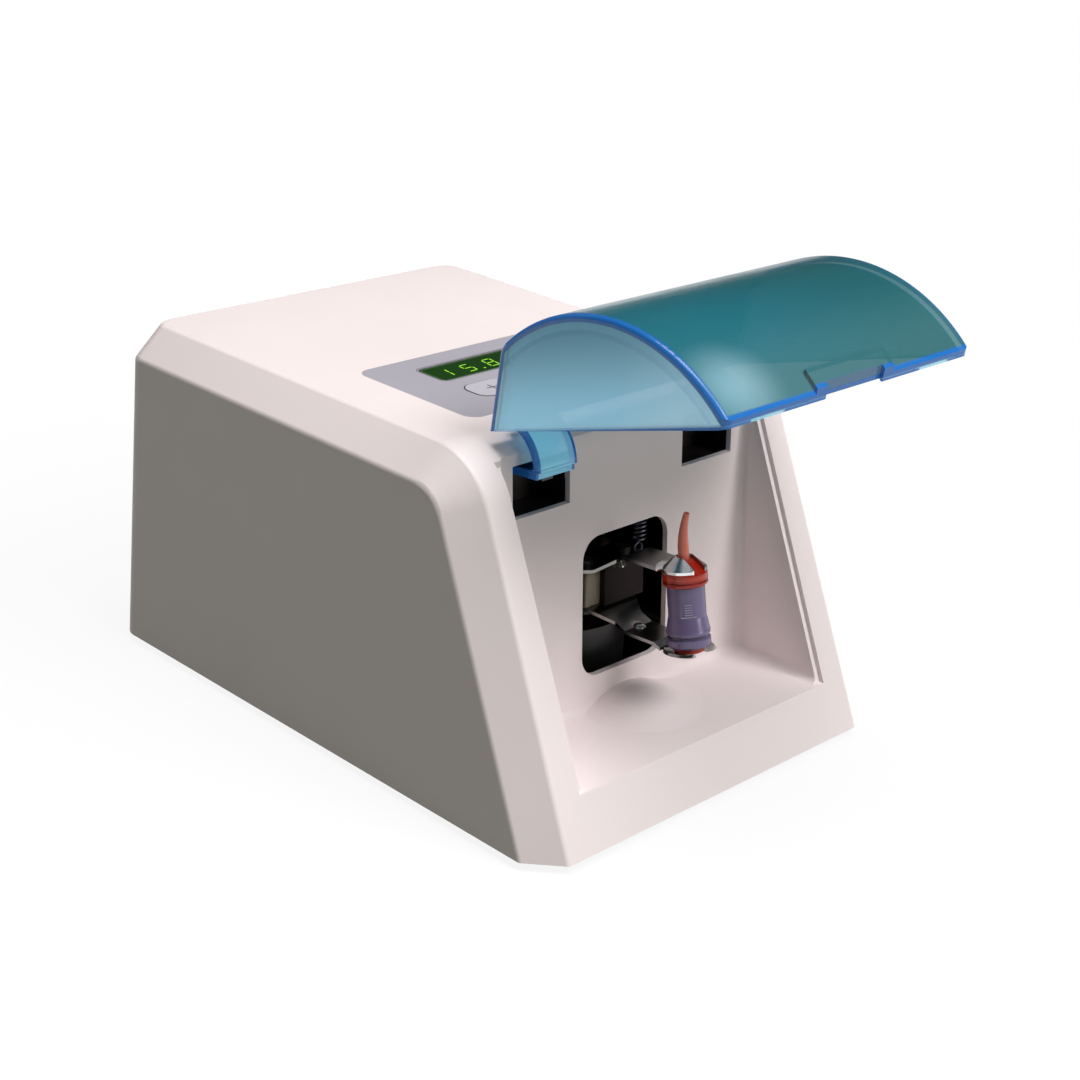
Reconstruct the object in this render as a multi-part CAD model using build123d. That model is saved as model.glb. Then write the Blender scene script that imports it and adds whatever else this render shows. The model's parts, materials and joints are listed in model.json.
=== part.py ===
"""Bench-top capsule mixer: a moulded casing with a slanted front, a swing-up hood and a two-pronged fork.

Frame: +X right, +Y to the rear, +Z up, in millimetres. The origin lies under the middle of the machine
with its hood open, on the surface that the feet stand on. The hood is modelled closed and then swung
open, and the fork is modelled level and then tilted, so that the drawn pose is the rest pose.
"""
from build123d import *
import math
import os

os.makedirs("parts", exist_ok=True)

# ---- casing -------------------------------------------------------------------------------------
casing_width = 170.0
casing_depth = 231.0
casing_setback = 16.16
casing_height = 121.8
casing_wall = 2.4
foot_height = 3.0
front_slope = 23.6
rear_lean = 2.6
side_draft = 1.0
bend_radius = 24.0
edge_chamfer = 10.8
rear_corner_radius = 8.0
soft_edge = 2.4

# ---- front recess -------------------------------------------------------------------------------
recess_half = 60.8
recess_depth = 39.8
recess_lean = 4.3
recess_corner = 3.0
tray_rise = 18.2
rebate_width = 2.0
rebate_depth = 1.6
hump_rise = 6.0
hump_half = 26.0
hump_forward = 7.0
hump_settle = 0.15

# ---- hood ---------------------------------------------------------------------------------------
hood_half = 60.0
hood_wall = 2.4
hood_drop = 12.4
hood_top_depth = 29.0
hood_bulge = 19.4
hood_corner = 8.0
hood_edge = 1.8
hood_inset = 1.4
hood_room = 60.0
hood_tip_round = 3.0
hood_open_angle = 83.6
grip_half = 19.0
grip_height = 6.0
grip_proud = 1.4
grip_notch_half = 14.0
grip_notch = 1.3

# ---- hood hinge ---------------------------------------------------------------------------------
hinge_drop = 10.9
hinge_setback = 6.6
hinge_spacing = 81.7
arm_width = 17.4
arm_radius = 16.4
arm_thickness = 2.4
arm_web_angle = 258.6
arm_tip_angle = 176.0
barrel_radius = 3.6
barrel_length = 23.6
hinge_pin_radius = 1.5
slot_side_gap = 4.4
slot_clearance = 0.6
pocket_wall = 1.6
pocket_gap = 1.0
ear_size = 8.0
ear_standoff = 4.0
ear_thickness = 2.0
magnet_length = 5.0
sensor_height = 3.0

# ---- fork ---------------------------------------------------------------------------------------
capsule_reach = 63.0
capsule_drop = 12.6
hub_setback = 33.4
hub_rise = 56.2
hub_thickness = 13.6
hub_radius = 20.5
hub_nose_margin = 3.5
hub_nose_reach = 27.0
fork_swing = 4.0
prong_thickness = 1.2
prong_half = 6.7
prong_taper = 8.0
prong_screw_inset = 6.7
bend_soft = 2.0
rib_radius = 3.2
rib_sink = 1.4
spacer_length = 2.5
spacer_left = 6.2
spacer_right = 13.2
shoulder_width = 2.0
spring_ear_margin = 0.6
prong_root_length = 12.0
upper_rise = 6.0
upper_flat = 2.5
upper_run = 8.5
lower_drop = 6.2
lower_run = 14.0
lower_lead = 1.0
lower_dip = 1.2
strip_room = 40.0
cup_radius = 8.5
cup_rise = 1.2
cup_hole_radius = 3.4
cup_slot_half = 4.4
clasp_slot_half = 2.7
clasp_front = 6.6
opening_half = 21.2
opening_corner = 8.0
opening_above = 10.3
opening_below = 12.3

# ---- capsule ------------------------------------------------------------------------------------
capsule_lean = 6.8
capsule_flange_radius = 7.5
capsule_flange_height = 3.0
capsule_groove = 0.7
capsule_bulge_height = 6.0
capsule_waist_height = 10.5
capsule_body_radius = 6.45
capsule_bore_radius = 5.2
capsule_body_height = 21.4
collar_radius = 7.6
collar_height = 4.5
shoulder_height = 3.9
shoulder_radius = 2.6
nozzle_base_radius = 1.9
nozzle_tip_radius = 1.0
nozzle_straight = 4.2
nozzle_arc = 12.3
nozzle_bend = 23.0
nozzle_hole_radius = 0.5
nozzle_steps = 5
rung_count = 6
rung_width = 2.6
rung_pitch = 0.85
rung_turn = 44.0
rung_start = 0.8
rung_sink = 0.1
rung_depth = 0.5
rung_height = 0.35
flange_bevel = 0.5
flange_soft = 0.3
plunger_proud = 2.2
plunger_length = 5.0
plunger_bevel = 0.3
cap_wall = 1.2
cap_plug = 3.0
collar_bevel = 0.4

# ---- motor and drive ----------------------------------------------------------------------------
motor_radius = 26.0
motor_height = 26.0
motor_wall = 1.6
shaft_radius = 3.0
shaft_top = 78.0
mount_height = 8.0
mount_radius = 6.0
bracket_thickness = 2.0
bracket_half = 31.0
bearing_outer_radius = 16.0
bearing_inner_radius = 7.5
bearing_width = 9.0
ball_count = 9
ball_radius = 2.2
ball_pitch = 11.8
crown_radius = 7.44
crown_height = 8.0
counterweight_radius = 13.5
counterweight_height = 6.0
counterweight_drop = 2.0
rotor_radius = 17.0
rotor_slots = 7
commutator_radius = 6.0
commutator_height = 6.0
magnet_air = 0.5
magnet_split = 7.0
bush_radius = 6.0
end_cap_thickness = 2.5
running_gap = 0.3
fit_gap = 0.04
over = 1.0
long_over = 9.0

# ---- springs ------------------------------------------------------------------------------------
spring_radius = 2.8
spring_wire = 0.9
spring_turns = 14
spring_lug_gap = 0.5
spring_hole_radius = 0.9
spring_hook_radius = 2.1
spring_bar_radius = 1.6
spring_bar_gap = 2.65
spring_bar_drop = 28.0
spring_lug = 3.0

# ---- top panel ----------------------------------------------------------------------------------
overlay_half = 49.9
overlay_length = 59.0
overlay_setback = 14.8
overlay_thickness = 0.6
overlay_corner = 5.5
board_inset = 5.0
lens_width = 45.0
lens_length = 14.6
lens_offset = 8.5
lens_margin = 10.2
lens_thickness = 1.4
lens_sink = 0.25
lens_ledge = 1.2
lens_corner = 2.4
key_width = 18.6
key_length = 13.2
key_corner = 5.0
key_pitch = 27.0
key_margin = 39.1
start_key_margin = 28.5
start_key_radius = 10.5
start_key_offset = 32.5
key_thickness = 1.2
key_proud = 0.15
key_gap = 0.3
key_travel = 0.3
stem_radius = 2.0
board_thickness = 1.6
board_drop = 13.0
board_corner = 2.0
board_hole_inset = 4.0
board_boss_radius = 3.2
board_screw_length = 7.0
screw_radius = 1.4
screw_play = 0.2
screw_head = 1.8
prong_screw_length = 6.4
boss_floor = 4.0
switch_size = 6.0
switch_height = 3.5
switch_plunger = 0.6

# ---- base ---------------------------------------------------------------------------------------
plate_thickness = 1.5
plate_recess = 1.0
plate_gap = 0.5
foot_radius = 7.0
foot_plug_radius = 3.0
vent_rows = 4
vent_length = 46.0
vent_width = 3.0
vent_corner_margin = 0.05
vent_pitch = 8.0
vent_front_margin = 26.0
foot_inset_x = 60.0
foot_inset_y = 88.0
boss_radius = 4.5
boss_height = 16.0
boss_rows = (-84.0, 4.0, 92.0)

# ---- rear panel ---------------------------------------------------------------------------------
socket_width = 22.0
socket_height = 16.0
socket_rise = 4.5
drawer_rise = -9.5
rocker_well = 8.0
rocker_clearance = 0.8
rocker_pin_radius = 1.2
inlet_width = 27.4
inlet_height = 31.0
inlet_depth = 24.0
inlet_flange = 4.0
inlet_corner = 4.0
socket_corner = 3.5
inlet_flange_thickness = 1.6
inlet_floor = 2.4
pin_pitch = 7.0
pin_low = 2.5
pin_high = 3.0
pin_width = 2.0
pin_length = 4.0
pin_tail = 5.0
pin_setback = 3.0
inlet_offset = -44.0
inlet_rise = 34.0
drawer_width = 20.0
drawer_height = 6.4
drawer_depth = 15.0
drawer_lead = 2.0
drawer_lip = 3.0
drawer_lip_rise = 1.6
lip_thickness = 1.2
drawer_wall = 2.0
bed_margin = 5.0
switch_width = 13.0
switch_length = 19.4
switch_depth = 16.0
switch_flange = 1.6
switch_rim = 1.2
blade_width = 4.0
blade_thickness = 0.8
blade_length = 6.0
blade_offset = 3.2
switch_offset = 8.0
rocker_tilt = 9.0
rocker_pivot_depth = 3.0

# ---- power supply -------------------------------------------------------------------------------
supply_width = 100.0
supply_length = 66.0
supply_gap = 38.0
standoff_height = 6.0
standoff_radius = 3.5
core_width = 42.0
core_length = 36.0
core_height = 34.0
coil_overhang = 6.0
capacitor_radius = 8.0
capacitor_height = 28.0
core_x = -16.0
capacitor_x = 28.0
ribbon_x = 28.0
ribbon_width = 12.0
ribbon_thickness = 0.8

# ---- derived places -----------------------------------------------------------------------------
front_y = casing_setback - casing_depth / 2
rear_y = casing_setback + casing_depth / 2
base_z = foot_height
top_z = base_z + casing_height
half_width = casing_width / 2
slope_run = math.tan(math.radians(front_slope))
lean_run = math.tan(math.radians(recess_lean))
rear_run = math.tan(math.radians(rear_lean))
draft_run = math.tan(math.radians(side_draft))
tray_z = base_z + tray_rise
tray_lip_y = front_y + tray_rise * slope_run
plate_top_z = base_z + plate_recess + plate_thickness


def front_face_y(z):
    """The slanted front at a height."""
    return front_y + (z - base_z) * slope_run


def recess_face_y(z):
    """The recess's rear wall, front side, at a height."""
    return tray_lip_y + recess_depth + (z - tray_z) * lean_run


def recess_back_y(z):
    """The recess's rear wall, hidden side, at a height."""
    return recess_face_y(z) + casing_wall / math.cos(math.radians(recess_lean))


def rear_face_y(z):
    """The leaning rear face at a height."""
    return rear_y - (z - base_z) * rear_run


hinge_z = top_z - hinge_drop
hinge_y = recess_back_y(hinge_z) + hinge_setback
hinge_axis = Axis((0, hinge_y, hinge_z), (1, 0, 0))
hub_z = base_z + hub_rise
hub_y = recess_face_y(hub_z) + hub_setback
hub_axis = Axis((0, hub_y, hub_z), (1, 0, 0))


def yz_face(points):
    """A flat face in the YZ plane through (y, z) points."""
    return make_face(Plane.YZ * Polyline(*points, close=True))


def across(face, half):
    """A YZ face made a solid, as far to the left as to the right."""
    return extrude(face, amount=half, both=True)


def casing_body(inset):
    """The casing's outer form with every wall moved inwards; open below when it is moved."""
    t = inset
    low_z = base_z if t == 0 else base_z - casing_wall
    high_z = top_z - t
    front_shift = t / math.cos(math.radians(front_slope))
    rear_shift = t / math.cos(math.radians(rear_lean))
    bend = (front_face_y(high_z) + front_shift, high_z)
    face = yz_face([
        (front_face_y(low_z) + front_shift, low_z),
        bend,
        (rear_face_y(high_z) - rear_shift, high_z),
        (rear_face_y(low_z) - rear_shift, low_z),
    ])
    bend_corner = face.vertices().sort_by_distance((0, *bend))[0]
    body = across(fillet(bend_corner, bend_radius - t), half_width)
    for side in (-1, 1):
        out = Vector(side, 0, draft_run).normalized()
        at = Vector(side * half_width, 0, base_z) - out * t
        body = split(body, bisect_by=Plane(origin=at, z_dir=out), keep=Keep.BOTTOM)
    side_x = half_width - t - casing_height * draft_run - 1
    rim = [e for e in body.edges() if abs((e @ 0.5).X) > side_x
           and (e @ 0.5).Z > low_z + 1 and (e @ 0.5).Y < rear_face_y(high_z) - rear_shift - 1]
    body = chamfer(rim, edge_chamfer - t * (2 - math.sqrt(2)))
    corners = [e for e in body.edges() if abs((e % 0.5).Z) > 0.3
               and (e @ 0.5).Y > rear_face_y((e @ 0.5).Z) - rear_shift - 0.1]
    body = fillet(corners, rear_corner_radius - t)
    return body


# ---- places that several pieces share -----------------------------------------------------------
hinge_xs = (-hinge_spacing / 2, hinge_spacing / 2)
slot_half = arm_width / 2 + slot_side_gap
pocket_half = slot_half + pocket_gap + pocket_wall
spring_bar_half = hinge_spacing / 2 - pocket_half - spring_bar_gap
spring_offset = spring_bar_half - spring_lug - spring_lug_gap - spring_radius
spring_ear_half = spring_offset + spring_ear_margin
prong_screw_x = spring_offset - prong_screw_inset
hub_nose_half = prong_screw_x + hub_nose_margin
web_rest_angle = math.radians(arm_web_angle - hood_open_angle)
slot_top_run = (hinge_y - recess_face_y(hinge_z)) * math.tan(math.pi - web_rest_angle)
slot_top_z = hinge_z + slot_top_run + arm_thickness / 2 + slot_clearance
slot_bottom_z = hinge_z - math.sqrt(arm_radius**2 - hinge_setback**2) - slot_clearance
hub_top = hub_thickness / 2
upper_level = hub_top + prong_thickness / 2
hood_low_z = tray_z + running_gap
hood_top_z = top_z - hood_drop
opening_top_z = hub_z + upper_level + upper_rise + prong_thickness / 2 + opening_above
opening_bottom_z = hub_z - upper_level - lower_drop - prong_thickness / 2 - opening_below
overlay_rear_y = hinge_y + overlay_setback + overlay_length
overlay_y = overlay_rear_y - overlay_length / 2
lens_y = overlay_rear_y - lens_margin - lens_length / 2
key_y = overlay_rear_y - key_margin
key_xs = (-lens_offset - key_pitch / 2, -lens_offset + key_pitch / 2)
start_key_y = overlay_rear_y - start_key_margin
key_top_z = top_z + key_proud
key_bottom_z = key_top_z - key_thickness
lens_seat = lens_thickness + lens_sink
well_bottom_z = key_bottom_z - key_travel - key_gap
board_top_z = top_z - board_drop
board_half_x = overlay_half - board_inset
board_half_y = overlay_length / 2 - board_inset
board_holes = [(sx * (board_half_x - board_hole_inset), overlay_y + sy * (board_half_y - board_hole_inset))
               for sx in (-1, 1) for sy in (-1, 1)]
key_places = [(key_xs[0], key_y), (key_xs[1], key_y), (start_key_offset, start_key_y)]
boss_x = half_width - casing_wall - boss_radius
boss_places = [(side * boss_x, casing_setback + y) for side in (-1, 1) for y in boss_rows]
foot_places = [(sx * foot_inset_x, casing_setback + sy * foot_inset_y) for sx in (-1, 1) for sy in (-1, 1)]
spring_bar_z = top_z - spring_bar_drop
swing = math.radians(fork_swing)
ear_reach = hub_nose_reach - prong_root_length / 4
spring_y = hub_y - ear_reach * math.cos(swing) + upper_level * math.sin(swing)
spring_foot_z = hub_z + ear_reach * math.sin(swing) + upper_level * math.cos(swing)
motor_floor_z = plate_top_z + mount_height + bracket_thickness
motor_top_z = motor_floor_z + motor_height
rotor_low = motor_floor_z + motor_wall + 3
rotor_high = motor_top_z - commutator_height - 4
supply_y = hub_y + supply_gap + supply_length / 2
supply_top = plate_top_z + standoff_height + board_thickness
vent_front_y = front_y + vent_front_margin


def block(x, y, z):
    """A box from (low, high) pairs."""
    spans = (x, y, z)
    middle = [(low + high) / 2 for low, high in spans]
    return Pos(*middle) * Box(*[high - low for low, high in spans])


def post(x, y, low, high, radius):
    """An upright cylinder between two heights."""
    return Pos(x, y, (low + high) / 2) * Cylinder(radius, high - low)


def tube(x, y, low, high, outer, inner):
    """An upright tube between two heights."""
    return post(x, y, low, high, outer) - post(x, y, low - over, high + over, inner)


def rod_x(x, y, z, radius, length):
    """A cylinder along X, centred."""
    return Pos(x, y, z) * Rot(0, 90, 0) * Cylinder(radius, length)


def rod_y(x, low, high, z, radius):
    """A cylinder along Y between two depths."""
    return Pos(x, (low + high) / 2, z) * Rot(90, 0, 0) * Cylinder(radius, high - low)


def slab(x, y, width, length, low, high, corner):
    """A flat plate with rounded upright corners."""
    return extrude(Pos(x, y, low) * RectangleRounded(width, length, corner), high - low)


def joined(pieces):
    """One shape from several."""
    whole = pieces[0]
    for piece in pieces[1:]:
        whole += piece
    return whole


def save(name, shape):
    """Write one node's STEP file."""
    solids = shape.solids()
    export_step(solids[0] if len(solids) == 1 else Compound(children=solids), f"parts/{name}.step")
    print(f"{name:22s} {len(solids)} solid(s) {sum(s.volume for s in solids):10.1f} mm3")


# ---- casing -------------------------------------------------------------------------------------
def recess_space(grow):
    """The recess and all that lies in front of and over it, grown by a wall where that is asked."""
    low, high = tray_z - grow, top_z + casing_wall * 3
    rear = recess_back_y if grow else recess_face_y
    face = yz_face([(front_y - casing_wall * 3, low), (rear(low), low), (rear(high), high),
                    (front_y - casing_wall * 3, high)])
    space = across(face, recess_half + grow)
    if grow:
        return space
    inner = [e for e in space.edges()
             if (e @ 0.5).Z < high - over and (e @ 0.5).Y > front_y - casing_wall * 3 + over]
    return fillet(inner, recess_corner)


def rebate():
    """The shallow step along both cheeks' inner front edges."""
    skin = across(yz_face([
        (front_face_y(tray_z) - 9, tray_z), (front_face_y(top_z) - 9, top_z + 9),
        (recess_face_y(top_z), top_z + 9), (recess_face_y(tray_z), tray_z),
    ]), recess_half + rebate_width)
    return skin - casing_body(rebate_depth)


def hump(sink):
    """The low soft swelling of the tray under the capsule, sunk into the tray by a depth."""
    bend_r = (hump_half**2 + hump_rise**2) / (4 * hump_rise)
    half_turn = math.asin(hump_half / 2 / bend_r) / 2
    out, drop = bend_r * math.sin(half_turn), bend_r * (1 - math.cos(half_turn))
    waist = (hump_half / 2, 0, hump_rise / 2)
    side = make_face([
        ThreePointArc((0, 0, hump_rise), (out, 0, hump_rise - drop), waist),
        ThreePointArc(waist, (hump_half - out, 0, drop), (hump_half, 0, 0)),
        Polyline((hump_half, 0, 0), (hump_half, 0, -casing_wall), (0, 0, -casing_wall),
                 (0, 0, hump_rise))])
    rear = recess_face_y(tray_z)
    front_half = block((-hump_half, hump_half), (front_y, rear + casing_wall / 2), (base_z, top_z))
    place = Pos(0, rear - hump_forward, tray_z - sink - hump_settle)
    return place * revolve(side, Axis.Z) & front_half


def fork_opening():
    """The rounded hole that the fork reaches through."""
    middle = (opening_top_z + opening_bottom_z) / 2
    face = Plane((0, front_y, middle), x_dir=(1, 0, 0), z_dir=(0, 1, 0)) * RectangleRounded(
        opening_half * 2, opening_top_z - opening_bottom_z, opening_corner)
    reach = recess_back_y(opening_top_z) - front_y + casing_wall
    return extrude(face, reach) - recess_space(0)


def hinge_slots():
    """The two holes that the hood's arms swing through."""
    deep = (recess_face_y(slot_bottom_z) - casing_wall, recess_back_y(slot_top_z) + casing_wall)
    return [block((x - slot_half, x + slot_half), deep, (slot_bottom_z, slot_top_z)) for x in hinge_xs]


def rear_plane(x, rise):
    """The leaning rear face as seen from behind: local X to the right, local Y up, local Z outwards."""
    z = base_z + rise
    lean = math.radians(rear_lean)
    return Plane((x, rear_face_y(z), z), x_dir=(-1, 0, 0), z_dir=(0, math.cos(lean), math.sin(lean)))


def ear_places():
    """Where the hinge pockets' ears are screwed on, as (x, z)."""
    reach = pocket_half + ear_size / 2
    return [(x + side * reach, hinge_z - arm_radius / 2) for x in hinge_xs for side in (-1, 1)]


def casing_cover():
    """The white moulded cover, in one piece with its recess, tray and screw bosses."""
    body = casing_body(0)
    soft = fillet([e for e in body.edges() if (e @ 0.5).Z > base_z + 1], soft_edge)
    hollow = casing_body(casing_wall)
    cover = soft - hollow + (recess_space(casing_wall) & body)
    for x, y in boss_places:
        cover += post(x, y, plate_top_z, plate_top_z + boss_height, boss_radius)
    for x, y in board_holes:
        cover += post(x, y, board_top_z, top_z - casing_wall / 2, board_boss_radius)
    for x, z in ear_places():
        start = recess_face_y(z) + casing_wall / 2
        cover += rod_y(x, start, recess_back_y(z) + ear_standoff, z, ear_size / 2)
    for side in (-1, 1):
        lug_x = side * (spring_bar_half - spring_lug / 2)
        cover += block((lug_x - spring_lug / 2, lug_x + spring_lug / 2),
                       (recess_face_y(spring_bar_z) + casing_wall / 2, spring_y + spring_lug),
                       (spring_bar_z - spring_lug, spring_bar_z + spring_lug))
    cover = cover + hump(0) - hump(casing_wall)
    cuts = [recess_space(0) - hump(0), rebate(), fork_opening(), *hinge_slots(),
            rod_x(0, spring_y, spring_bar_z, spring_bar_radius, spring_bar_half * 2)]
    hole_top = plate_top_z + boss_height - boss_floor / 2
    cuts += [post(x, y, base_z, hole_top, screw_radius) for x, y in boss_places]
    cuts += [post(x, y, board_top_z - over, top_z - casing_wall, screw_radius) for x, y in board_holes]
    cuts += [rod_y(x, recess_back_y(z), recess_back_y(z) + ear_standoff + over, z, screw_radius)
             for x, z in ear_places()]
    cuts += [overlay_blank(0, top_z - overlay_thickness, top_z + over)]
    cuts += [lens_blank(key_gap, top_z - lens_seat, top_z + over)]
    cuts += [lens_blank(-lens_ledge, top_z - long_over, top_z)]
    cuts += [key_blank(i, key_gap, well_bottom_z, top_z + over) for i in range(len(key_places))]
    cuts += [post(x, y, top_z - long_over, top_z, stem_radius + key_gap) for x, y in key_places]
    cuts += [inlet_cut(), switch_cut()]
    for cut in cuts:
        cover -= cut
    return cover


# ---- top panel ----------------------------------------------------------------------------------


def overlay_blank(grow, low, high):
    """The grey membrane's outline."""
    return slab(0, overlay_y, (overlay_half + grow) * 2, overlay_length + grow * 2, low, high,
                overlay_corner + grow)


def lens_blank(grow, low, high):
    """The display window's outline."""
    return slab(-lens_offset, lens_y, lens_width + grow * 2, lens_length + grow * 2, low, high,
                lens_corner + grow)


def key_blank(index, grow, low, high):
    """One key's outline: two rounded rectangles and a round start key."""
    x, y = key_places[index]
    if index == 2:
        return post(x, y, low, high, start_key_radius + grow)
    return slab(x, y, key_width + grow * 2, key_length + grow * 2, low, high, key_corner + grow)


def control_overlay():
    """The grey membrane, let into the top."""
    film = overlay_blank(-fit_gap, top_z - overlay_thickness, top_z)
    film -= lens_blank(key_gap, top_z - long_over, top_z + over)
    for index in range(len(key_places)):
        film -= key_blank(index, key_gap, top_z - long_over, top_z + over)
    return film


def display_lens():
    """The green window over the digits."""
    return lens_blank(0, top_z - lens_seat, top_z - lens_seat + lens_thickness)


def display_module():
    """The digit block behind the window."""
    return lens_blank(-lens_ledge - key_gap, board_top_z, top_z - lens_seat)


def key(index):
    """A key cap with its stem."""
    x, y = key_places[index]
    stem_low = board_top_z + switch_height + key_travel + key_gap
    return key_blank(index, 0, key_bottom_z, key_top_z) + post(x, y, stem_low, key_bottom_z, stem_radius)


def key_switches():
    """The three push switches under the keys."""
    half = switch_size / 2
    high = board_top_z + switch_height
    cans = [block((x - half, x + half), (y - half, y + half), (board_top_z, high - switch_plunger))
            + post(x, y, high - switch_plunger, high, stem_radius - key_gap)
            for x, y in key_places]
    return Compound(children=cans)


def control_board():
    """The circuit board hung under the top."""
    low = board_top_z - board_thickness
    board = slab(0, overlay_y, board_half_x * 2, board_half_y * 2, low, board_top_z,
                 board_corner)
    for x, y in board_holes:
        board -= post(x, y, board_top_z - long_over, board_top_z + over, screw_radius + screw_play)
    return board


def screw(x, y, head_z, length, up):
    """A pan-head screw whose shank goes up, or down, from its head."""
    crown, tip = head_z - up * screw_head, head_z + up * length
    head = post(x, y, min(head_z, crown), max(head_z, crown), screw_radius * 2)
    return head + post(x, y, min(head_z, tip), max(head_z, tip), screw_radius - fit_gap)


def board_screws():
    """The control board's four screws."""
    seat = board_top_z - board_thickness
    return Compound(children=[screw(x, y, seat, board_screw_length, 1) for x, y in board_holes])


# ---- rear sockets -------------------------------------------------------------------------------
def inlet_face(grow):
    """The power inlet's outline on the rear face, with its upper corners cut off."""
    w, h, cut = inlet_width / 2 + grow, inlet_height / 2 + grow, inlet_corner
    return Polyline((-w, -h), (w, -h), (w, h - cut), (w - cut, h), (cut - w, h), (-w, h - cut), close=True)


def inlet_cut():
    """The hole for the power inlet."""
    outline = make_face(inlet_face(fit_gap))
    return extrude(rear_plane(inlet_offset, inlet_rise) * outline, casing_wall * 2, both=True)


def switch_cut():
    """The hole for the power switch."""
    return extrude(rear_plane(switch_offset, inlet_rise) * Rectangle(
        switch_width + fit_gap * 2, switch_length + fit_gap * 2), casing_wall * 2, both=True)


# ---- hood and its hinges ------------------------------------------------------------------------
def opened(shape):
    """A piece modelled on the closed hood, swung to the open rest pose."""
    return shape.rotate(hinge_axis, -hood_open_angle)


def hood_chord_y(z):
    """The depth of the hood's mouth at a height, closed."""
    return front_face_y(z) + hood_inset / math.cos(math.radians(front_slope))


def hood_side(grow):
    """The closed hood's side outline, grown or shrunk, running on past its mouth and its tip."""
    crown_y = hood_chord_y(hood_top_z) - hood_top_depth
    tip_y = front_face_y(hood_low_z) + fit_gap * 2
    chord = math.hypot(crown_y - tip_y, hood_top_z - hood_low_z)
    out = Vector(0, hood_low_z - hood_top_z, crown_y - tip_y).normalized() * hood_bulge
    middle = Vector(0, (crown_y + tip_y) / 2, (hood_top_z + hood_low_z) / 2)
    middle += Vector(0, -abs(out.Y), abs(out.Z))
    arc = ThreePointArc((0, tip_y, hood_low_z), middle, (0, crown_y, hood_top_z))
    down = arc % 0
    far_tip = Vector(0, tip_y, hood_low_z) - down * (chord / 9)
    back_y = hood_chord_y(hood_top_z) + hood_drop
    face = make_face([arc, Polyline((0, crown_y, hood_top_z), (0, back_y, hood_top_z),
                                    (0, back_y, far_tip.Z), far_tip, (0, tip_y, hood_low_z))])
    corner = face.vertices().sort_by_distance((0, crown_y, hood_top_z))[0]
    face = fillet(corner, hood_corner)
    return offset(face, amount=grow, kind=Kind.INTERSECTION) if grow else face


def hood_mouth():
    """Everything in front of the hood's mouth and above its tip."""
    slant = hood_wall / math.cos(math.radians(front_slope))
    return across(yz_face([(front_y - hood_room, hood_low_z), (front_face_y(hood_low_z) + slant, hood_low_z),
                           (hood_chord_y(hood_top_z), hood_top_z), (hood_chord_y(hood_top_z), top_z),
                           (front_y - hood_room, top_z)]), half_width)


def arm_angle(angle, radius):
    """A place around the hinge, by angle from the rear and by distance."""
    a = math.radians(angle)
    return (0, hinge_y + radius * math.cos(a), hinge_z + radius * math.sin(a))


def hood_arm(x):
    """One curved hinge arm: an arc about the hinge, a web back to it and a barrel."""
    tip, web = arm_tip_angle, arm_web_angle
    mid_r, half_t = arm_radius - arm_thickness / 2, arm_thickness / 2
    middle, inner_r = (tip + web) / 2, arm_radius - arm_thickness
    outer = [arm_angle(angle, arm_radius) for angle in (tip, middle, web)]
    inner = [arm_angle(angle, inner_r) for angle in (web, middle, tip)]
    ring = make_face([ThreePointArc(*outer), Line(outer[-1], inner[0]), ThreePointArc(*inner),
                      Line(inner[-1], outer[0])])
    arm = across(ring, arm_width / 2)
    web_bar = Pos(0, hinge_y, hinge_z) * Rot(web, 0, 0) * Pos(0, mid_r / 2, half_t) * Box(
        arm_width, mid_r, arm_thickness)
    tip_round = [e for e in arm.edges() if abs((e % 0.5).X) > 0.9
                 and (e @ 0.5 - Vector(arm_angle(tip, mid_r))).length < arm_thickness]
    arm = fillet(tip_round, half_t * 0.9)
    arm += web_bar + rod_x(0, hinge_y, hinge_z, barrel_radius, barrel_length)
    return Pos(x, 0, 0) * (arm - rod_x(0, hinge_y, hinge_z, hinge_pin_radius + fit_gap, barrel_length + 2))


def hood():
    """The tinted hood with its finger band and its two arms, open."""
    outer, inner = hood_side(0), hood_side(-hood_wall)
    shell = across(outer, hood_half)
    rim = [e for e in shell.edges() if abs((e @ 0.5).X) > hood_half - 0.1
           and (e @ 0.5).Y < hood_chord_y((e @ 0.5).Z) and (e @ 0.5).Z > hood_low_z - hood_drop]
    shell = fillet(rim, hood_edge)
    hollow = across(inner, hood_half - hood_wall)
    band = across(hood_side(grip_proud), grip_half) & block(
        (-grip_half, grip_half), (front_y - hood_room, hood_chord_y(hood_low_z)),
        (hood_low_z, hood_low_z + grip_height))
    shell = (shell + band - hollow) & hood_mouth()
    tall = top_z + hood_room - hood_low_z
    trim = Plane((0, front_y - hood_room, hood_low_z + tall / 2), x_dir=(1, 0, 0), z_dir=(0, 1, 0))
    shell &= extrude(trim * RectangleRounded(hood_half * 2, tall, hood_tip_round), casing_depth)
    shell -= block((-grip_notch_half, grip_notch_half),
                   (front_y - hood_room, hood_chord_y(hood_low_z) + long_over),
                   (hood_low_z - over, hood_low_z + grip_notch))
    for x in hinge_xs:
        shell += hood_arm(x)
    return opened(shell)


def hinge_pin(x):
    """The steel pin through one barrel and both pocket walls."""
    return rod_x(x, hinge_y, hinge_z, hinge_pin_radius, pocket_half * 2)


def pocket_bounds(grow):
    """The pocket's half width and its reach behind, below and above the hinge."""
    deep = hinge_y + barrel_radius + pocket_wall + grow
    low = hinge_z - arm_radius - slot_clearance - grow
    return slot_half + pocket_gap + grow, deep, low


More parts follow.
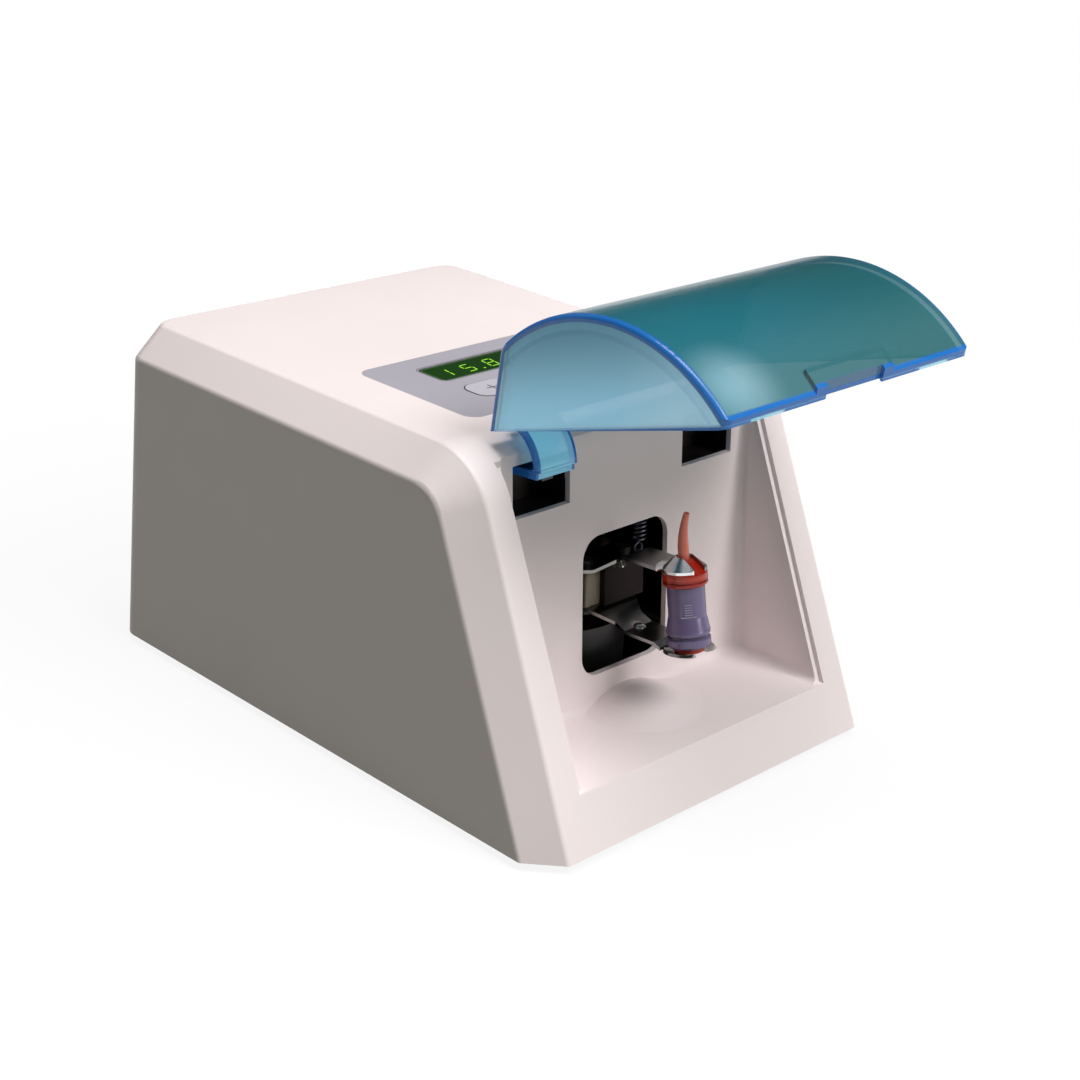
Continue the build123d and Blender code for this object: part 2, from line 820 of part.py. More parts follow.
def hinge_pocket(x):
    """The dark pocket behind one slot, carrying the pin and closing the slot off."""
    half, deep, low = pocket_bounds(pocket_wall)
    in_half, in_deep, in_low = pocket_bounds(0)
    front = recess_back_y(low)
    box = block((x - half, x + half), (front - casing_wall, deep), (low, top_z))
    box -= block((x - in_half, x + in_half), (front - casing_wall * 2, in_deep), (in_low, top_z + over))
    for ear_x, ear_z in ear_places():
        if abs(ear_x - x) < hinge_spacing / 2:
            seat = recess_back_y(ear_z) + ear_standoff
            inward = math.copysign(ear_size / 2, x - ear_x)
            ends = sorted((ear_x - inward, ear_x + inward * 1.2))
            box += block(tuple(ends), (seat, seat + ear_thickness),
                         (ear_z - ear_size / 2, ear_z + ear_size / 2))
    for ear_x, ear_z in ear_places():
        box -= rod_y(ear_x, front, deep + long_over, ear_z, screw_radius + screw_play)
    box -= rod_x(x, hinge_y, hinge_z, hinge_pin_radius, half * 2)
    box &= casing_body(casing_wall + plate_gap * 0.6)
    return box - recess_space(casing_wall)


def pocket_screws():
    """The four screws that hold the hinge pockets."""
    screws = []
    for x, z in ear_places():
        seat = recess_back_y(z) + ear_standoff
        head = rod_y(x, seat + ear_thickness, seat + ear_thickness + screw_head, z, screw_radius * 2)
        shank = rod_y(x, recess_back_y(z) + over, seat + ear_thickness, z, screw_radius - fit_gap)
        screws.append(head + shank)
    return Compound(children=screws)


def hood_magnet():
    """The magnet on the left arm's web that the lid sensor watches."""
    place = Pos(hinge_xs[0], hinge_y, hinge_z) * Rot(arm_web_angle, 0, 0)
    stone = place * Pos(0, arm_radius * 0.55, arm_thickness + magnet_length / 4) * Box(
        magnet_length, magnet_length, magnet_length / 2)
    return opened(stone)


def hood_sensor():
    """The lid sensor under the left pocket's floor, over its place when the hood is shut."""
    _, _, low = pocket_bounds(pocket_wall)
    spot_y = hinge_y - magnet_length / 2
    return block((hinge_xs[0] - magnet_length / 2, hinge_xs[0] + magnet_length / 2),
                 (spot_y, spot_y + magnet_length), (low - sensor_height, low))


# ---- fork and capsule ---------------------------------------------------------------------------
def tilted(shape):
    """A piece modelled on the level fork, tipped up in front to the rest pose."""
    return shape.rotate(hub_axis, -fork_swing)


def fork_hub():
    """The cream block that carries the bearing and both prongs."""
    low, high = hub_z - hub_top, hub_z + hub_top
    block_ = post(0, hub_y, low, high, hub_radius) + block(
        (-hub_nose_half, hub_nose_half), (hub_y - hub_nose_reach, hub_y), (low, high))
    block_ = fillet(block_.edges(), 1.0)
    seat_low = hub_z - bearing_width / 2
    block_ -= post(0, hub_y, seat_low, high + over, bearing_outer_radius)
    block_ -= post(0, hub_y, low - over, high, bearing_outer_radius - shoulder_width)
    for x, y in prong_holes():
        block_ -= post(x, y, high - prong_screw_length + over / 2, high + over, screw_radius)
        block_ -= post(x, y, low - over, low + prong_screw_length - over / 2, screw_radius)
    return tilted(block_)


def prong_holes():
    """Where the prongs are screwed to the hub, as (x, y)."""
    return [(side * prong_screw_x, hub_y - hub_nose_reach + prong_root_length / 3) for side in (-1, 1)]


def bearing_outer():
    """The bearing's outer ring."""
    half = bearing_width / 2
    ring = tube(0, hub_y, hub_z - half, hub_z + half, bearing_outer_radius, ball_pitch + ball_radius * 0.6)
    return tilted(ring - ball_track())


def bearing_inner():
    """The bearing's inner ring."""
    half = bearing_width / 2
    ring = tube(0, hub_y, hub_z - half, hub_z + half, ball_pitch - ball_radius * 0.6, bearing_inner_radius)
    return tilted(ring - ball_track())


def ball_track():
    """The round groove the balls run in."""
    return Pos(0, hub_y, hub_z) * Torus(ball_pitch, ball_radius)


def bearing_balls():
    """The bearing's balls."""
    balls = []
    for index in range(ball_count):
        turn = 2 * math.pi * index / ball_count
        balls.append(tilted(Pos(ball_pitch * math.cos(turn), hub_y + ball_pitch * math.sin(turn), hub_z)
                            * Sphere(ball_radius)))
    return Compound(children=balls)


def bearing_retainer():
    """The ring pressed in over the bearing."""
    return tilted(tube(0, hub_y, hub_z + bearing_width / 2, hub_z + hub_top, bearing_outer_radius,
                       bearing_outer_radius - shoulder_width))


def capsule_frame():
    """The capsule's own frame on the level fork: Z along it, origin in the middle of its flange's foot."""
    return Pos(0, hub_y - capsule_reach, hub_z - capsule_drop) * Rot(-capsule_lean, 0, 0)


def strip(points, root_half, rib):
    """A stamped strip: bent along its side, wide at its root, narrow at its end, with a rib in one bend."""
    half = prong_thickness / 2
    above = [(y, z + half) for y, z in points]
    below = [(y, z - half) for y, z in reversed(points)]
    body = across(yz_face(above + below), root_half)
    root_y, tip_y = points[0][0], points[-1][0]
    neck_y = root_y - prong_root_length
    shoulder_y = neck_y + shoulder_width
    taper_y = neck_y - prong_taper
    outline = Polyline((-root_half, root_y), (root_half, root_y), (root_half, shoulder_y),
                       (prong_half, taper_y), (prong_half, tip_y), (-prong_half, tip_y),
                       (-prong_half, taper_y), (-root_half, shoulder_y), close=True)
    low = min(z for _, z in points) - prong_thickness * 2
    body &= extrude(Pos(0, 0, low) * make_face(outline), strip_room)
    creases = [e for e in body.edges() if abs((e % 0.5).X) > 0.99
               and taper_y - prong_root_length < (e @ 0.5).Y < shoulder_y - over]
    body = fillet(creases, bend_soft)
    rib_y, rib_z = rib
    bead_room = block((-rib_radius, rib_radius), (rib_y - rib_radius, rib_y + rib_radius),
                      (rib_z - half + fit_gap, rib_z + rib_radius))
    body += Pos(0, rib_y, rib_z - rib_sink) * Sphere(rib_radius) & bead_room
    for x, y in prong_holes():
        body -= post(x, y, low - over, low + strip_room, screw_radius + screw_play)
    return body


def cup_slot(half, front):
    """The slot that opens a cup to the front, and the trim of its two ends."""
    tall = capsule_body_height * 4
    slot = Pos(0, -cup_radius, 0) * Box(half * 2, cup_radius * 2, tall)
    return slot + Pos(0, -front - cup_radius, 0) * Box(cup_radius * 4, cup_radius * 2, tall)


def turned(points):
    """A solid of revolution about Z from (radius, height) points."""
    return revolve(make_face(Plane.XZ * Polyline(*points, close=True)), Axis.Z)


def lower_cup():
    """The dish at the end of the lower prong, in the capsule's frame."""
    floor, rim, t = -plunger_proud, cup_rise - plunger_proud, prong_thickness
    flat = capsule_bore_radius + 0.6
    dish = turned([(cup_hole_radius, floor - t), (flat, floor - t), (cup_radius + t * 0.4, rim - t * 0.8),
                   (cup_radius, rim), (flat, floor), (cup_hole_radius, floor)])
    return dish - cup_slot(cup_slot_half, clasp_front)


def upper_cup():
    """The conical clasp at the end of the upper prong, in the capsule's frame."""
    foot, t = capsule_body_height + collar_height, prong_thickness
    shell = turned([(shoulder_radius + 0.2, foot + shoulder_height), (collar_radius - 0.4, foot),
                    (collar_radius - 0.1, foot + 0.3), (collar_radius - 0.1, foot + t),
                    (shoulder_radius + 0.6, foot + shoulder_height + t)])
    return shell - cup_slot(clasp_slot_half, clasp_front)


def cup_room(low, high):
    """What a strip gives up to the cup at its end, in the capsule's frame."""
    return Pos(0, 0, (low + high) / 2) * Cylinder(cup_radius - prong_thickness, high - low)


def upper_prong():
    """The upper steel prong with its clasp."""
    root = hub_y - hub_nose_reach + prong_root_length
    bend = root - prong_root_length - upper_flat
    z = hub_z + upper_level
    lean_shift = capsule_body_height * math.sin(math.radians(capsule_lean))
    tip = hub_y - capsule_reach + lean_shift + cup_radius * 0.8
    arm = strip([(root, z), (bend, z), (bend - upper_run, z + upper_rise), (tip, z + upper_rise)],
                spring_ear_half, (bend, z))
    hook_x = spring_offset - spring_hook_radius + spring_wire / 4
    for side in (-1, 1):
        arm -= post(side * hook_x, hub_y - ear_reach, z - prong_thickness, z + prong_thickness,
                    spring_hole_radius)
    arm -= capsule_frame() * cup_room(capsule_body_height, capsule_body_height * 2)
    arm += capsule_frame() * upper_cup()
    return tilted(arm)


def lower_prong():
    """The lower steel prong with its dish."""
    root = hub_y - hub_nose_reach + prong_root_length
    bend = root - prong_root_length + lower_lead
    z = hub_z - upper_level
    tip = hub_y - capsule_reach + cup_radius * 0.85
    low_z = z - lower_drop
    arm = strip([(root, z), (bend, z), (bend - lower_run, low_z), (tip + lower_dip * 2.5, low_z),
                 (tip, low_z - lower_dip)], hub_nose_half, (bend - lower_run, low_z))
    arm -= capsule_frame() * cup_room(-capsule_body_height, capsule_body_height)
    arm += capsule_frame() * lower_cup()
    return tilted(arm)


def prong_spacer():
    """The dark distance piece between the prongs, in front of the hub."""
    front = hub_y - hub_nose_reach
    return tilted(block((-spacer_left, spacer_right), (front - spacer_length, front),
                        (hub_z - hub_top, hub_z + hub_top)))


def prong_screws():
    """The screws that hold both prongs to the hub."""
    screws = []
    for x, y in prong_holes():
        for end in (1, -1):
            seat = hub_z + end * (upper_level + prong_thickness / 2)
            screws.append(tilted(screw(x, y, seat, prong_screw_length, -end)))
    return Compound(children=screws)


def capsule_body():
    """The violet capsule body with its flange, waist and bore."""
    r, g, f, b = capsule_flange_radius, capsule_groove, capsule_flange_height, capsule_body_radius
    top = capsule_body_height
    shell = turned([
        (capsule_bore_radius, 0), (r - flange_bevel, 0), (r, 0.6), (r, f - flange_soft),
        (r - 0.4, f), (r - g, f + 0.2), (r - g, f + 0.9),
        (r - 0.1, f + 1.4), (r, capsule_bulge_height - 0.6), (r - 0.2, capsule_bulge_height),
        (b + 0.35, (capsule_bulge_height + capsule_waist_height) / 2 + 0.6),
        (b, capsule_waist_height), (b, top), (capsule_bore_radius, top)])
    for rung in range(rung_count):
        width = rung_width if rung else rung_width * 2
        place = Pos(0, rung_sink - b, capsule_waist_height + rung_start + rung * rung_pitch)
        shell += Rot(0, 0, -rung_turn) * place * Box(width, rung_depth, rung_height)
    return tilted(capsule_frame() * shell)


def capsule_cap():
    """The orange cap: ribbed collar, cone and bent nozzle."""
    low = capsule_body_height
    high = low + collar_height
    neck = capsule_bore_radius - fit_gap
    r = collar_radius
    base = high + shoulder_height
    start = base + nozzle_straight
    cap = turned([
        (neck - cap_wall, low - cap_plug), (neck, low - cap_plug), (neck, low),
        (r - collar_bevel, low), (r, low + collar_bevel),
        (r, low + 1.2), (r - 0.25, low + 1.5), (r, low + 1.8),
        (r, high - 0.3), (r - collar_bevel, high), (shoulder_radius + 0.2, base),
        (nozzle_base_radius, base), (nozzle_base_radius, start),
        (0, start), (0, high - 0.6), (neck - cap_wall, high - 0.6)])
    bend = math.radians(nozzle_bend)
    bend_r = nozzle_arc / bend
    sections = []
    for step in range(nozzle_steps + 1):
        a = bend * step / nozzle_steps
        r = nozzle_base_radius + (nozzle_tip_radius - nozzle_base_radius) * step / nozzle_steps
        centre = (0, -bend_r * (1 - math.cos(a)), start + bend_r * math.sin(a))
        sections.append(Plane(centre, x_dir=(1, 0, 0), z_dir=(0, -math.sin(a), math.cos(a))) * Circle(r))
    cap += loft(sections)
    tip = Plane((0, -bend_r * (1 - math.cos(bend)), start + bend_r * math.sin(bend)), x_dir=(1, 0, 0),
                z_dir=(0, -math.sin(bend), math.cos(bend)))
    cap -= extrude(tip * Circle(nozzle_hole_radius), -4)
    return tilted(capsule_frame() * cap)


def capsule_plunger():
    """The red plunger under the capsule, standing in the lower dish."""
    r = capsule_bore_radius - fit_gap
    plunger = turned([(0, -plunger_proud), (r - plunger_bevel, -plunger_proud),
                      (r, plunger_bevel - plunger_proud), (r, plunger_length), (0, plunger_length)])
    return tilted(capsule_frame() * plunger)


def fork_spring(side):
    """One tight coil spring with a hook at each end, upright."""
    x, y = side * spring_offset, spring_y
    wire, r = spring_wire / 2, spring_radius
    low = spring_foot_z + spring_hook_radius + spring_wire
    high = spring_bar_z - spring_hook_radius - spring_wire
    pitch = (high - low) / spring_turns
    edges = [Line((r - wire * 2, 0, low), (r - wire, 0, low))]
    for turn in range(spring_turns):
        z = low + turn * pitch
        edges.append(ThreePointArc((r - wire, 0, z), (r, 0, z + pitch / 2), (r - wire, 0, z + pitch)))
    edges.append(Line((r - wire, 0, high), (r - wire * 2, 0, high)))
    edges.append(Line((r - wire * 2, 0, high), (r - wire * 2, 0, low)))
    coil = Pos(x, y, 0) * revolve(make_face(edges), Axis.Z)
    for z, hook_z, turn in ((low, spring_foot_z, 90), (high, spring_bar_z, 0)):
        inward = math.copysign(spring_wire, z - hook_z)
        hook_end = hook_z + math.copysign(spring_hook_radius, z - hook_z)
        coil += post(x, y, min(z, z + inward), max(z, z + inward), r - wire * 1.5)
        coil += post(x, y, min(z, hook_end), max(z, hook_end), wire)
        coil += Pos(x, y, hook_z) * Rot(0, 0, turn) * Rot(0, 90, 0) * Torus(spring_hook_radius, wire)
    return coil


def spring_bar():
    """The steel bar the springs hang from."""
    return rod_x(0, spring_y, spring_bar_z, spring_bar_radius, spring_bar_half * 2)


# ---- motor --------------------------------------------------------------------------------------
def motor_shaft():
    """The motor's shaft."""
    return post(0, hub_y, motor_floor_z + 1, base_z + shaft_top, shaft_radius)


def skew_sleeve():
    """The crowned sleeve on the shaft: its crown stays in the bearing at every angle of the fork."""
    crown = Sphere(crown_radius) & Rot(fork_swing, 0, 0) * Box(
        crown_radius * 3, crown_radius * 3, crown_height)
    sleeve = Pos(0, hub_y, hub_z) * crown
    return sleeve - post(0, hub_y, hub_z - 20, hub_z + 20, shaft_radius)


def counterweight():
    """The eccentric weight on the shaft's end, with its set screw's hole."""
    low = base_z + shaft_top - counterweight_height - counterweight_drop
    high = low + counterweight_height
    clear_y = hub_y + counterweight_radius * 1.5
    disc = post(0, hub_y, low, high, counterweight_radius)
    disc -= block((-counterweight_radius, counterweight_radius), (hub_y + shaft_radius * 2, clear_y),
                  (low - over, high + over))
    disc -= rod_y(0, hub_y + shaft_radius / 2, clear_y, (low + high) / 2, screw_radius)
    return disc - post(0, hub_y, low - over, high + over, shaft_radius)


def rotor_core():
    """The motor's laminated core with its slots."""
    core = post(0, hub_y, rotor_low, rotor_high, rotor_radius)
    for index in range(rotor_slots):
        turn = 360 * index / rotor_slots
        core -= Pos(0, hub_y, 0) * Rot(0, 0, turn) * block(
            (rotor_radius * 0.55, rotor_radius + 1), (-1.2, 1.2), (rotor_low - over, rotor_high + over))
    return core - post(0, hub_y, rotor_low - over, rotor_high + over, shaft_radius)


def commutator():
    """The commutator above the core."""
    return tube(0, hub_y, rotor_high, rotor_high + commutator_height, commutator_radius, shaft_radius)


def motor_can():
    """The motor's steel can, closed below."""
    can = post(0, hub_y, motor_floor_z, motor_top_z, motor_radius)
    can -= post(0, hub_y, motor_floor_z + motor_wall, motor_top_z + 1, motor_radius - motor_wall)
    return can - post(0, hub_y, motor_floor_z - 1, motor_floor_z + 5, bush_radius)


def motor_end_cap():
    """The motor's upper end cap."""
    cap = post(0, hub_y, motor_top_z, motor_top_z + end_cap_thickness, motor_radius)
    cap += post(0, hub_y, motor_top_z - 1.5, motor_top_z, motor_radius - motor_wall)
    return cap - post(0, hub_y, motor_top_z - long_over, motor_top_z + long_over, bush_radius)


def motor_bushes():
    """The two bronze bushes the shaft runs in."""
    bore = shaft_radius + fit_gap
    low = tube(0, hub_y, motor_floor_z, motor_floor_z + motor_wall + 2, bush_radius, bore)
    high = tube(0, hub_y, motor_top_z - 1.5, motor_top_z + end_cap_thickness, bush_radius, bore)
    return Compound(children=[low, high])


def motor_magnets():
    """The two curved magnets in the can."""
    ring = tube(0, hub_y, rotor_low, rotor_high, motor_radius - motor_wall, rotor_radius + magnet_air)
    halves = []
    for side in (-1, 1):
        halves.append(ring & block(tuple(sorted((side * magnet_split, side * motor_radius))),
                                   (hub_y - motor_radius, hub_y + motor_radius), (rotor_low, rotor_high)))
    return Compound(children=halves)


def motor_brushes():
    """The two carbon brushes beside the commutator, hung from the end cap."""
    brushes = []
    for side in (-1, 1):
        near = commutator_radius + fit_gap * 2
        brushes.append(block(tuple(sorted((side * near, side * (near + 6)))), (hub_y - 2, hub_y + 2),
                             (rotor_high + 2, motor_top_z - 1.5)))
    return Compound(children=brushes)


def mount_places():
    """Where the motor's rubber mounts stand, as (x, y)."""
    reach = bracket_half - mount_radius
    return [(sx * reach, hub_y + sy * reach) for sx in (-1, 1) for sy in (-1, 1)]


def motor_bracket():
    """The steel plate under the motor."""
    low = plate_top_z + mount_height
    plate = slab(0, hub_y, bracket_half * 2, bracket_half * 2, low, low + bracket_thickness, mount_radius)
    for x, y in mount_places():
        plate -= post(x, y, low - over, low + long_over, screw_radius + screw_play)
    return plate - post(0, hub_y, low - over, low + long_over, bush_radius + 1)


def motor_mounts():
    """The four rubber mounts under the motor's bracket."""
    mounts = [tube(x, y, plate_top_z, plate_top_z + mount_height, mount_radius, screw_radius + screw_play)
              for x, y in mount_places()]
    return Compound(children=mounts)


def motor_screws():
    """The screws through the bracket and its mounts into the base plate."""
    top = plate_top_z + mount_height + bracket_thickness
    length = mount_height + bracket_thickness + plate_thickness * 0.8
    return Compound(children=[screw(x, y, top, length, -1) for x, y in mount_places()])


# ---- base ---------------------------------------------------------------------------------------
def base_plate():
    """The steel plate that closes the casing below."""
    plate = casing_body(casing_wall + plate_gap) & block(
        (-half_width, half_width), (front_y, rear_y), (plate_top_z - plate_thickness, plate_top_z))
    for x, y in boss_places:
        plate -= post(x, y, base_z - over, plate_top_z + over, screw_radius + screw_play)
    for x, y in mount_places() + standoff_places():
        plate -= post(x, y, base_z - over, plate_top_z + over, screw_radius)
    for x, y in foot_places:
        plate -= post(x, y, base_z - over, plate_top_z + over, foot_plug_radius)
    for row in range(vent_rows):
        y = vent_front_y + row * vent_pitch
        plate -= slab(0, y, vent_length, vent_width, base_z - over, plate_top_z + over,
                      vent_width / 2 - vent_corner_margin)
    return plate


def rubber_feet():
    """The four rubber feet, plugged into the base plate."""
    low = plate_top_z - plate_thickness
    feet = []
    for x, y in foot_places:
        foot = post(x, y, 0, low, foot_radius)
        foot = chamfer(foot.edges().sort_by(Axis.Z)[0], 1.0)
        feet.append(foot + post(x, y, low, plate_top_z + 1.5, foot_plug_radius))
    return Compound(children=feet)


def base_screws():
    """The six screws that hold the base plate to the casing."""
    head = plate_top_z - plate_thickness
    return Compound(children=[screw(x, y, head, boss_height - boss_floor, 1) for x, y in boss_places])


# ---- power supply -------------------------------------------------------------------------------
def standoff_places():
    """Where the power board stands on its posts, as (x, y)."""
    reach_x, reach_y = supply_width / 2 - 5, supply_length / 2 - 5
    return [(sx * reach_x, supply_y + sy * reach_y) for sx in (-1, 1) for sy in (-1, 1)]


def board_standoffs():
    """The four posts under the power board, each with its threaded stub."""
    posts = []
    for x, y in standoff_places():
        stud = post(x, y, plate_top_z - plate_thickness, plate_top_z, screw_radius - fit_gap)
        top = plate_top_z + standoff_height
        stub = post(x, y, top, top + board_thickness + 1, screw_radius - fit_gap)
        posts.append(post(x, y, plate_top_z, top, standoff_radius) + stud + stub)
    return Compound(children=posts)


def power_board():
    """The power board."""
    low = plate_top_z + standoff_height
    board = slab(0, supply_y, supply_width, supply_length, low, low + board_thickness, 2.0)
    for x, y in standoff_places():
        board -= post(x, y, low - over, low + 5, screw_radius)
    return board


def transformer_core():
    """The transformer's laminated core with its two windows."""
    low = supply_top
    core = block((core_x - core_width / 2, core_x + core_width / 2),
                 (supply_y - core_length / 2, supply_y + core_length / 2), (low, low + core_height))
    return core - joined(transformer_windows())


def transformer_windows():
    """The two openings of the core that the winding passes through."""
    low, high = supply_top + core_height / 6, supply_top + core_height * 5 / 6
    windows = []
    for side in (-1, 1):
        near, far = core_x + side * core_width / 6, core_x + side * core_width / 3
        windows.append(block((min(near, far), max(near, far)),
                             (supply_y - core_length, supply_y + core_length), (low, high)))
    return windows


def transformer_coil():
    """The winding around the core's middle limb."""
    half_x, half_y = core_width / 3 - fit_gap, core_length / 2 + coil_overhang
    low, high = supply_top + core_height / 6 + fit_gap, supply_top + core_height * 5 / 6 - fit_gap
    coil = slab(core_x, supply_y, half_x * 2, half_y * 2, low, high, 3.0)
    return coil - block((core_x - core_width / 6, core_x + core_width / 6),
                        (supply_y - core_length / 2 - fit_gap, supply_y + core_length / 2 + fit_gap),
                        (low - over, high + over))


def capacitors():
    """The two upright capacitors."""
    places = [(capacitor_x, supply_y + side * (capacitor_radius + 2)) for side in (-1, 1)]
    return Compound(children=[fillet(post(x, y, supply_top, supply_top + capacitor_height, capacitor_radius)
                                     .edges().sort_by(Axis.Z)[-1], 1.0) for x, y in places])


def rear_box(x, width, height, low, high):
    """A box on the rear face, from one depth to another along the face's own outward direction."""
    return extrude(rear_plane(x, inlet_rise) * Pos(0, 0, low) * Rectangle(width, height), high - low)


def power_inlet():
    """The appliance inlet with its flange, its socket and its fuse drawer's slot."""
    flange = extrude(rear_plane(inlet_offset, inlet_rise) * Rectangle(
        inlet_width + inlet_flange, inlet_height + inlet_flange), inlet_flange_thickness)
    shell = extrude(rear_plane(inlet_offset, inlet_rise) * make_face(inlet_face(0)), -inlet_depth)
    body = flange + shell
    frame = rear_plane(inlet_offset, inlet_rise)
    w, h, cut = socket_width / 2, socket_height / 2, socket_corner
    throat = Polyline((-w, socket_rise - h), (w, socket_rise - h), (w, socket_rise + h - cut),
                      (w - cut, socket_rise + h), (cut - w, socket_rise + h), (-w, socket_rise + h - cut),
                      close=True)
    socket_depth = inlet_depth - inlet_floor - inlet_flange_thickness
    body -= extrude(frame * Pos(0, 0, inlet_flange_thickness) * make_face(throat), -socket_depth)
    body -= extrude(frame * Pos(0, drawer_rise, drawer_lead) * Rectangle(
        drawer_width + key_gap, drawer_height + key_gap), -drawer_depth - drawer_lead - key_gap)
    return body - inlet_pins()


def inlet_pins():
    """The inlet's three flat contacts."""
    frame = rear_plane(inlet_offset, inlet_rise)
    pins = []
    low, high = socket_rise - pin_low, socket_rise + pin_high
    for x, y in ((-pin_pitch, low), (0, high), (pin_pitch, low)):
        foot = frame * Pos(x, y, -inlet_depth - pin_tail) * Rectangle(pin_width, pin_length)
        pins.append(extrude(foot, inlet_depth + pin_tail - pin_setback))
    return Compound(children=pins)


def fuse_drawer():
    """The fuse drawer under the socket, with its finger lip and the fuse's bed."""
    frame = rear_plane(inlet_offset, inlet_rise)
    face = frame * Pos(0, drawer_rise, inlet_flange_thickness + key_gap)
    drawer = extrude(face * Rectangle(drawer_width, drawer_height), -drawer_depth - inlet_flange_thickness)
    lip = extrude(face * Rectangle(drawer_width + drawer_lip, drawer_height + drawer_lip_rise),
                  lip_thickness)
    bed = extrude(frame * Pos(0, drawer_rise + drawer_height / 2, -drawer_lead) * Rectangle(
        drawer_width - drawer_wall * 2, drawer_height), -drawer_depth + bed_margin)
    return drawer + lip - bed


def switch_frame():
    """The power switch's black frame and body."""
    frame = rear_box(switch_offset, switch_width + inlet_flange, switch_length + inlet_flange, 0,
                     switch_flange)
    frame += rear_box(switch_offset, switch_width, switch_length, -switch_depth, 0)
    frame -= rear_box(switch_offset, switch_width - switch_rim * 2, switch_length - switch_rim * 2,
                      -rocker_well, switch_flange + over)
    plane = rear_plane(switch_offset, inlet_rise)
    for side in (-1, 1):
        blade = Rectangle(blade_width, blade_thickness)
        frame += extrude(plane * Pos(side * blade_offset, 0, -switch_depth) * blade, -blade_length)
    return frame - rocker_pin(fit_gap)


def rocker_pin(grow):
    """The rocker's two pivot stubs, in one piece."""
    return rear_plane(switch_offset, inlet_rise) * Pos(0, 0, switch_flange - rocker_pivot_depth) * Rot(
        0, 90, 0) * Cylinder(rocker_pin_radius + grow, switch_width - switch_rim + grow * 2)


def power_rocker():
    """The rocker of the power switch, with ON and OFF marks as a bar and a ring, tipped to off."""
    plane = rear_plane(switch_offset, inlet_rise)
    half = switch_length / 2 - switch_rim - rocker_clearance
    crest, dip = 1.4, 0.2
    side = Polyline((0, -half, 1.6), (0, 0, dip), (0, half, 1.6), (0, half - 0.8, -crest * 2),
                    (0, 0, -rocker_well + 3.4), (0, -half + 0.8, -crest * 2), close=True)
    wide = switch_width - switch_rim * 2 - rocker_clearance
    rocker = Pos(-wide / 2, 0, 0) * extrude(make_face(side), wide, dir=(1, 0, 0))
    pivot = plane * Pos(0, 0, switch_flange - rocker_pivot_depth)
    pin = Rot(0, 90, 0) * Cylinder(rocker_pin_radius, switch_width - switch_rim)
    return pivot * Rot(rocker_tilt, 0, 0) * (rocker + pin)


def ribbon_cable():
    """The flat cable from the control board down to the power board."""
    y = supply_y - supply_length / 2 + 3
    return block((ribbon_x - ribbon_width / 2, ribbon_x + ribbon_width / 2), (y, y + ribbon_thickness),
                 (supply_top, board_top_z - board_thickness))


# ---- files --------------------------------------------------------------------------------------
nodes = {
    "casing_cover": casing_cover,
    "base_plate": base_plate,
    "rubber_feet": rubber_feet,
    "base_screws": base_screws,
    "hood": hood,
    "hinge_pin_left": lambda: hinge_pin(hinge_xs[0]),
    "hinge_pin_right": lambda: hinge_pin(hinge_xs[1]),
    "hinge_pocket_left": lambda: hinge_pocket(hinge_xs[0]),
    "hinge_pocket_right": lambda: hinge_pocket(hinge_xs[1]),
    "pocket_screws": pocket_screws,
    "hood_magnet": hood_magnet,
    "hood_sensor": hood_sensor,
    "control_overlay": control_overlay,
    "display_lens": display_lens,
    "display_module": display_module,
    "control_board": control_board,
    "board_screws": board_screws,
    "key_switches": key_switches,
    "plus_key": lambda: key(0),
    "minus_key": lambda: key(1),
    "start_key": lambda: key(2),
    "upper_prong": upper_prong,
    "lower_prong": lower_prong,
    "prong_spacer": prong_spacer,
    "prong_screws": prong_screws,
    "fork_hub": fork_hub,
    "hub_bearing_outer": bearing_outer,
    "hub_bearing_inner": bearing_inner,
    "bearing_balls": bearing_balls,
    "bearing_retainer": bearing_retainer,
    "skew_sleeve": skew_sleeve,
    "counterweight": counterweight,
    "motor_shaft": motor_shaft,
    "rotor_core": rotor_core,
    "commutator": commutator,
    "motor_can": motor_can,
    "motor_end_cap": motor_end_cap,
    "motor_magnets": motor_magnets,
    "motor_bushes": motor_bushes,
    "motor_brushes": motor_brushes,
    "motor_bracket": motor_bracket,
    "motor_mounts": motor_mounts,
    "motor_screws": motor_screws,
    "fork_spring_left": lambda: fork_spring(-1),
    "fork_spring_right": lambda: fork_spring(1),
    "spring_bar": spring_bar,
    "capsule_body": capsule_body,
    "capsule_cap": capsule_cap,
    "capsule_plunger": capsule_plunger,
    "power_board": power_board,
    "board_standoffs": board_standoffs,
    "transformer_core": transformer_core,
    "transformer_coil": transformer_coil,
    "capacitors": capacitors,
    "power_inlet": power_inlet,
    "inlet_pins": inlet_pins,
    "fuse_drawer": fuse_drawer,
    "switch_frame": switch_frame,
    "power_rocker": power_rocker,
    "ribbon_cable": ribbon_cable,
}
for name, make in nodes.items():
    save(name, make())
print(len(nodes), "nodes")
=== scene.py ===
# %% [markdown]
# # A capsule mixer for a dental bench
# This machine shakes a small capsule until the filling material inside it is mixed. It has a moulded
# wedge-shaped casing with a mixing bay in front, a tinted hood that swings up on two curved arms, a
# steel fork that holds the capsule, and a timer panel on top.
# The measured solids come first. They are the fixed frame that every piece made here sits on.

# %% Load the measured frame
import json
import math

import bpy
from mathutils import Matrix, Vector


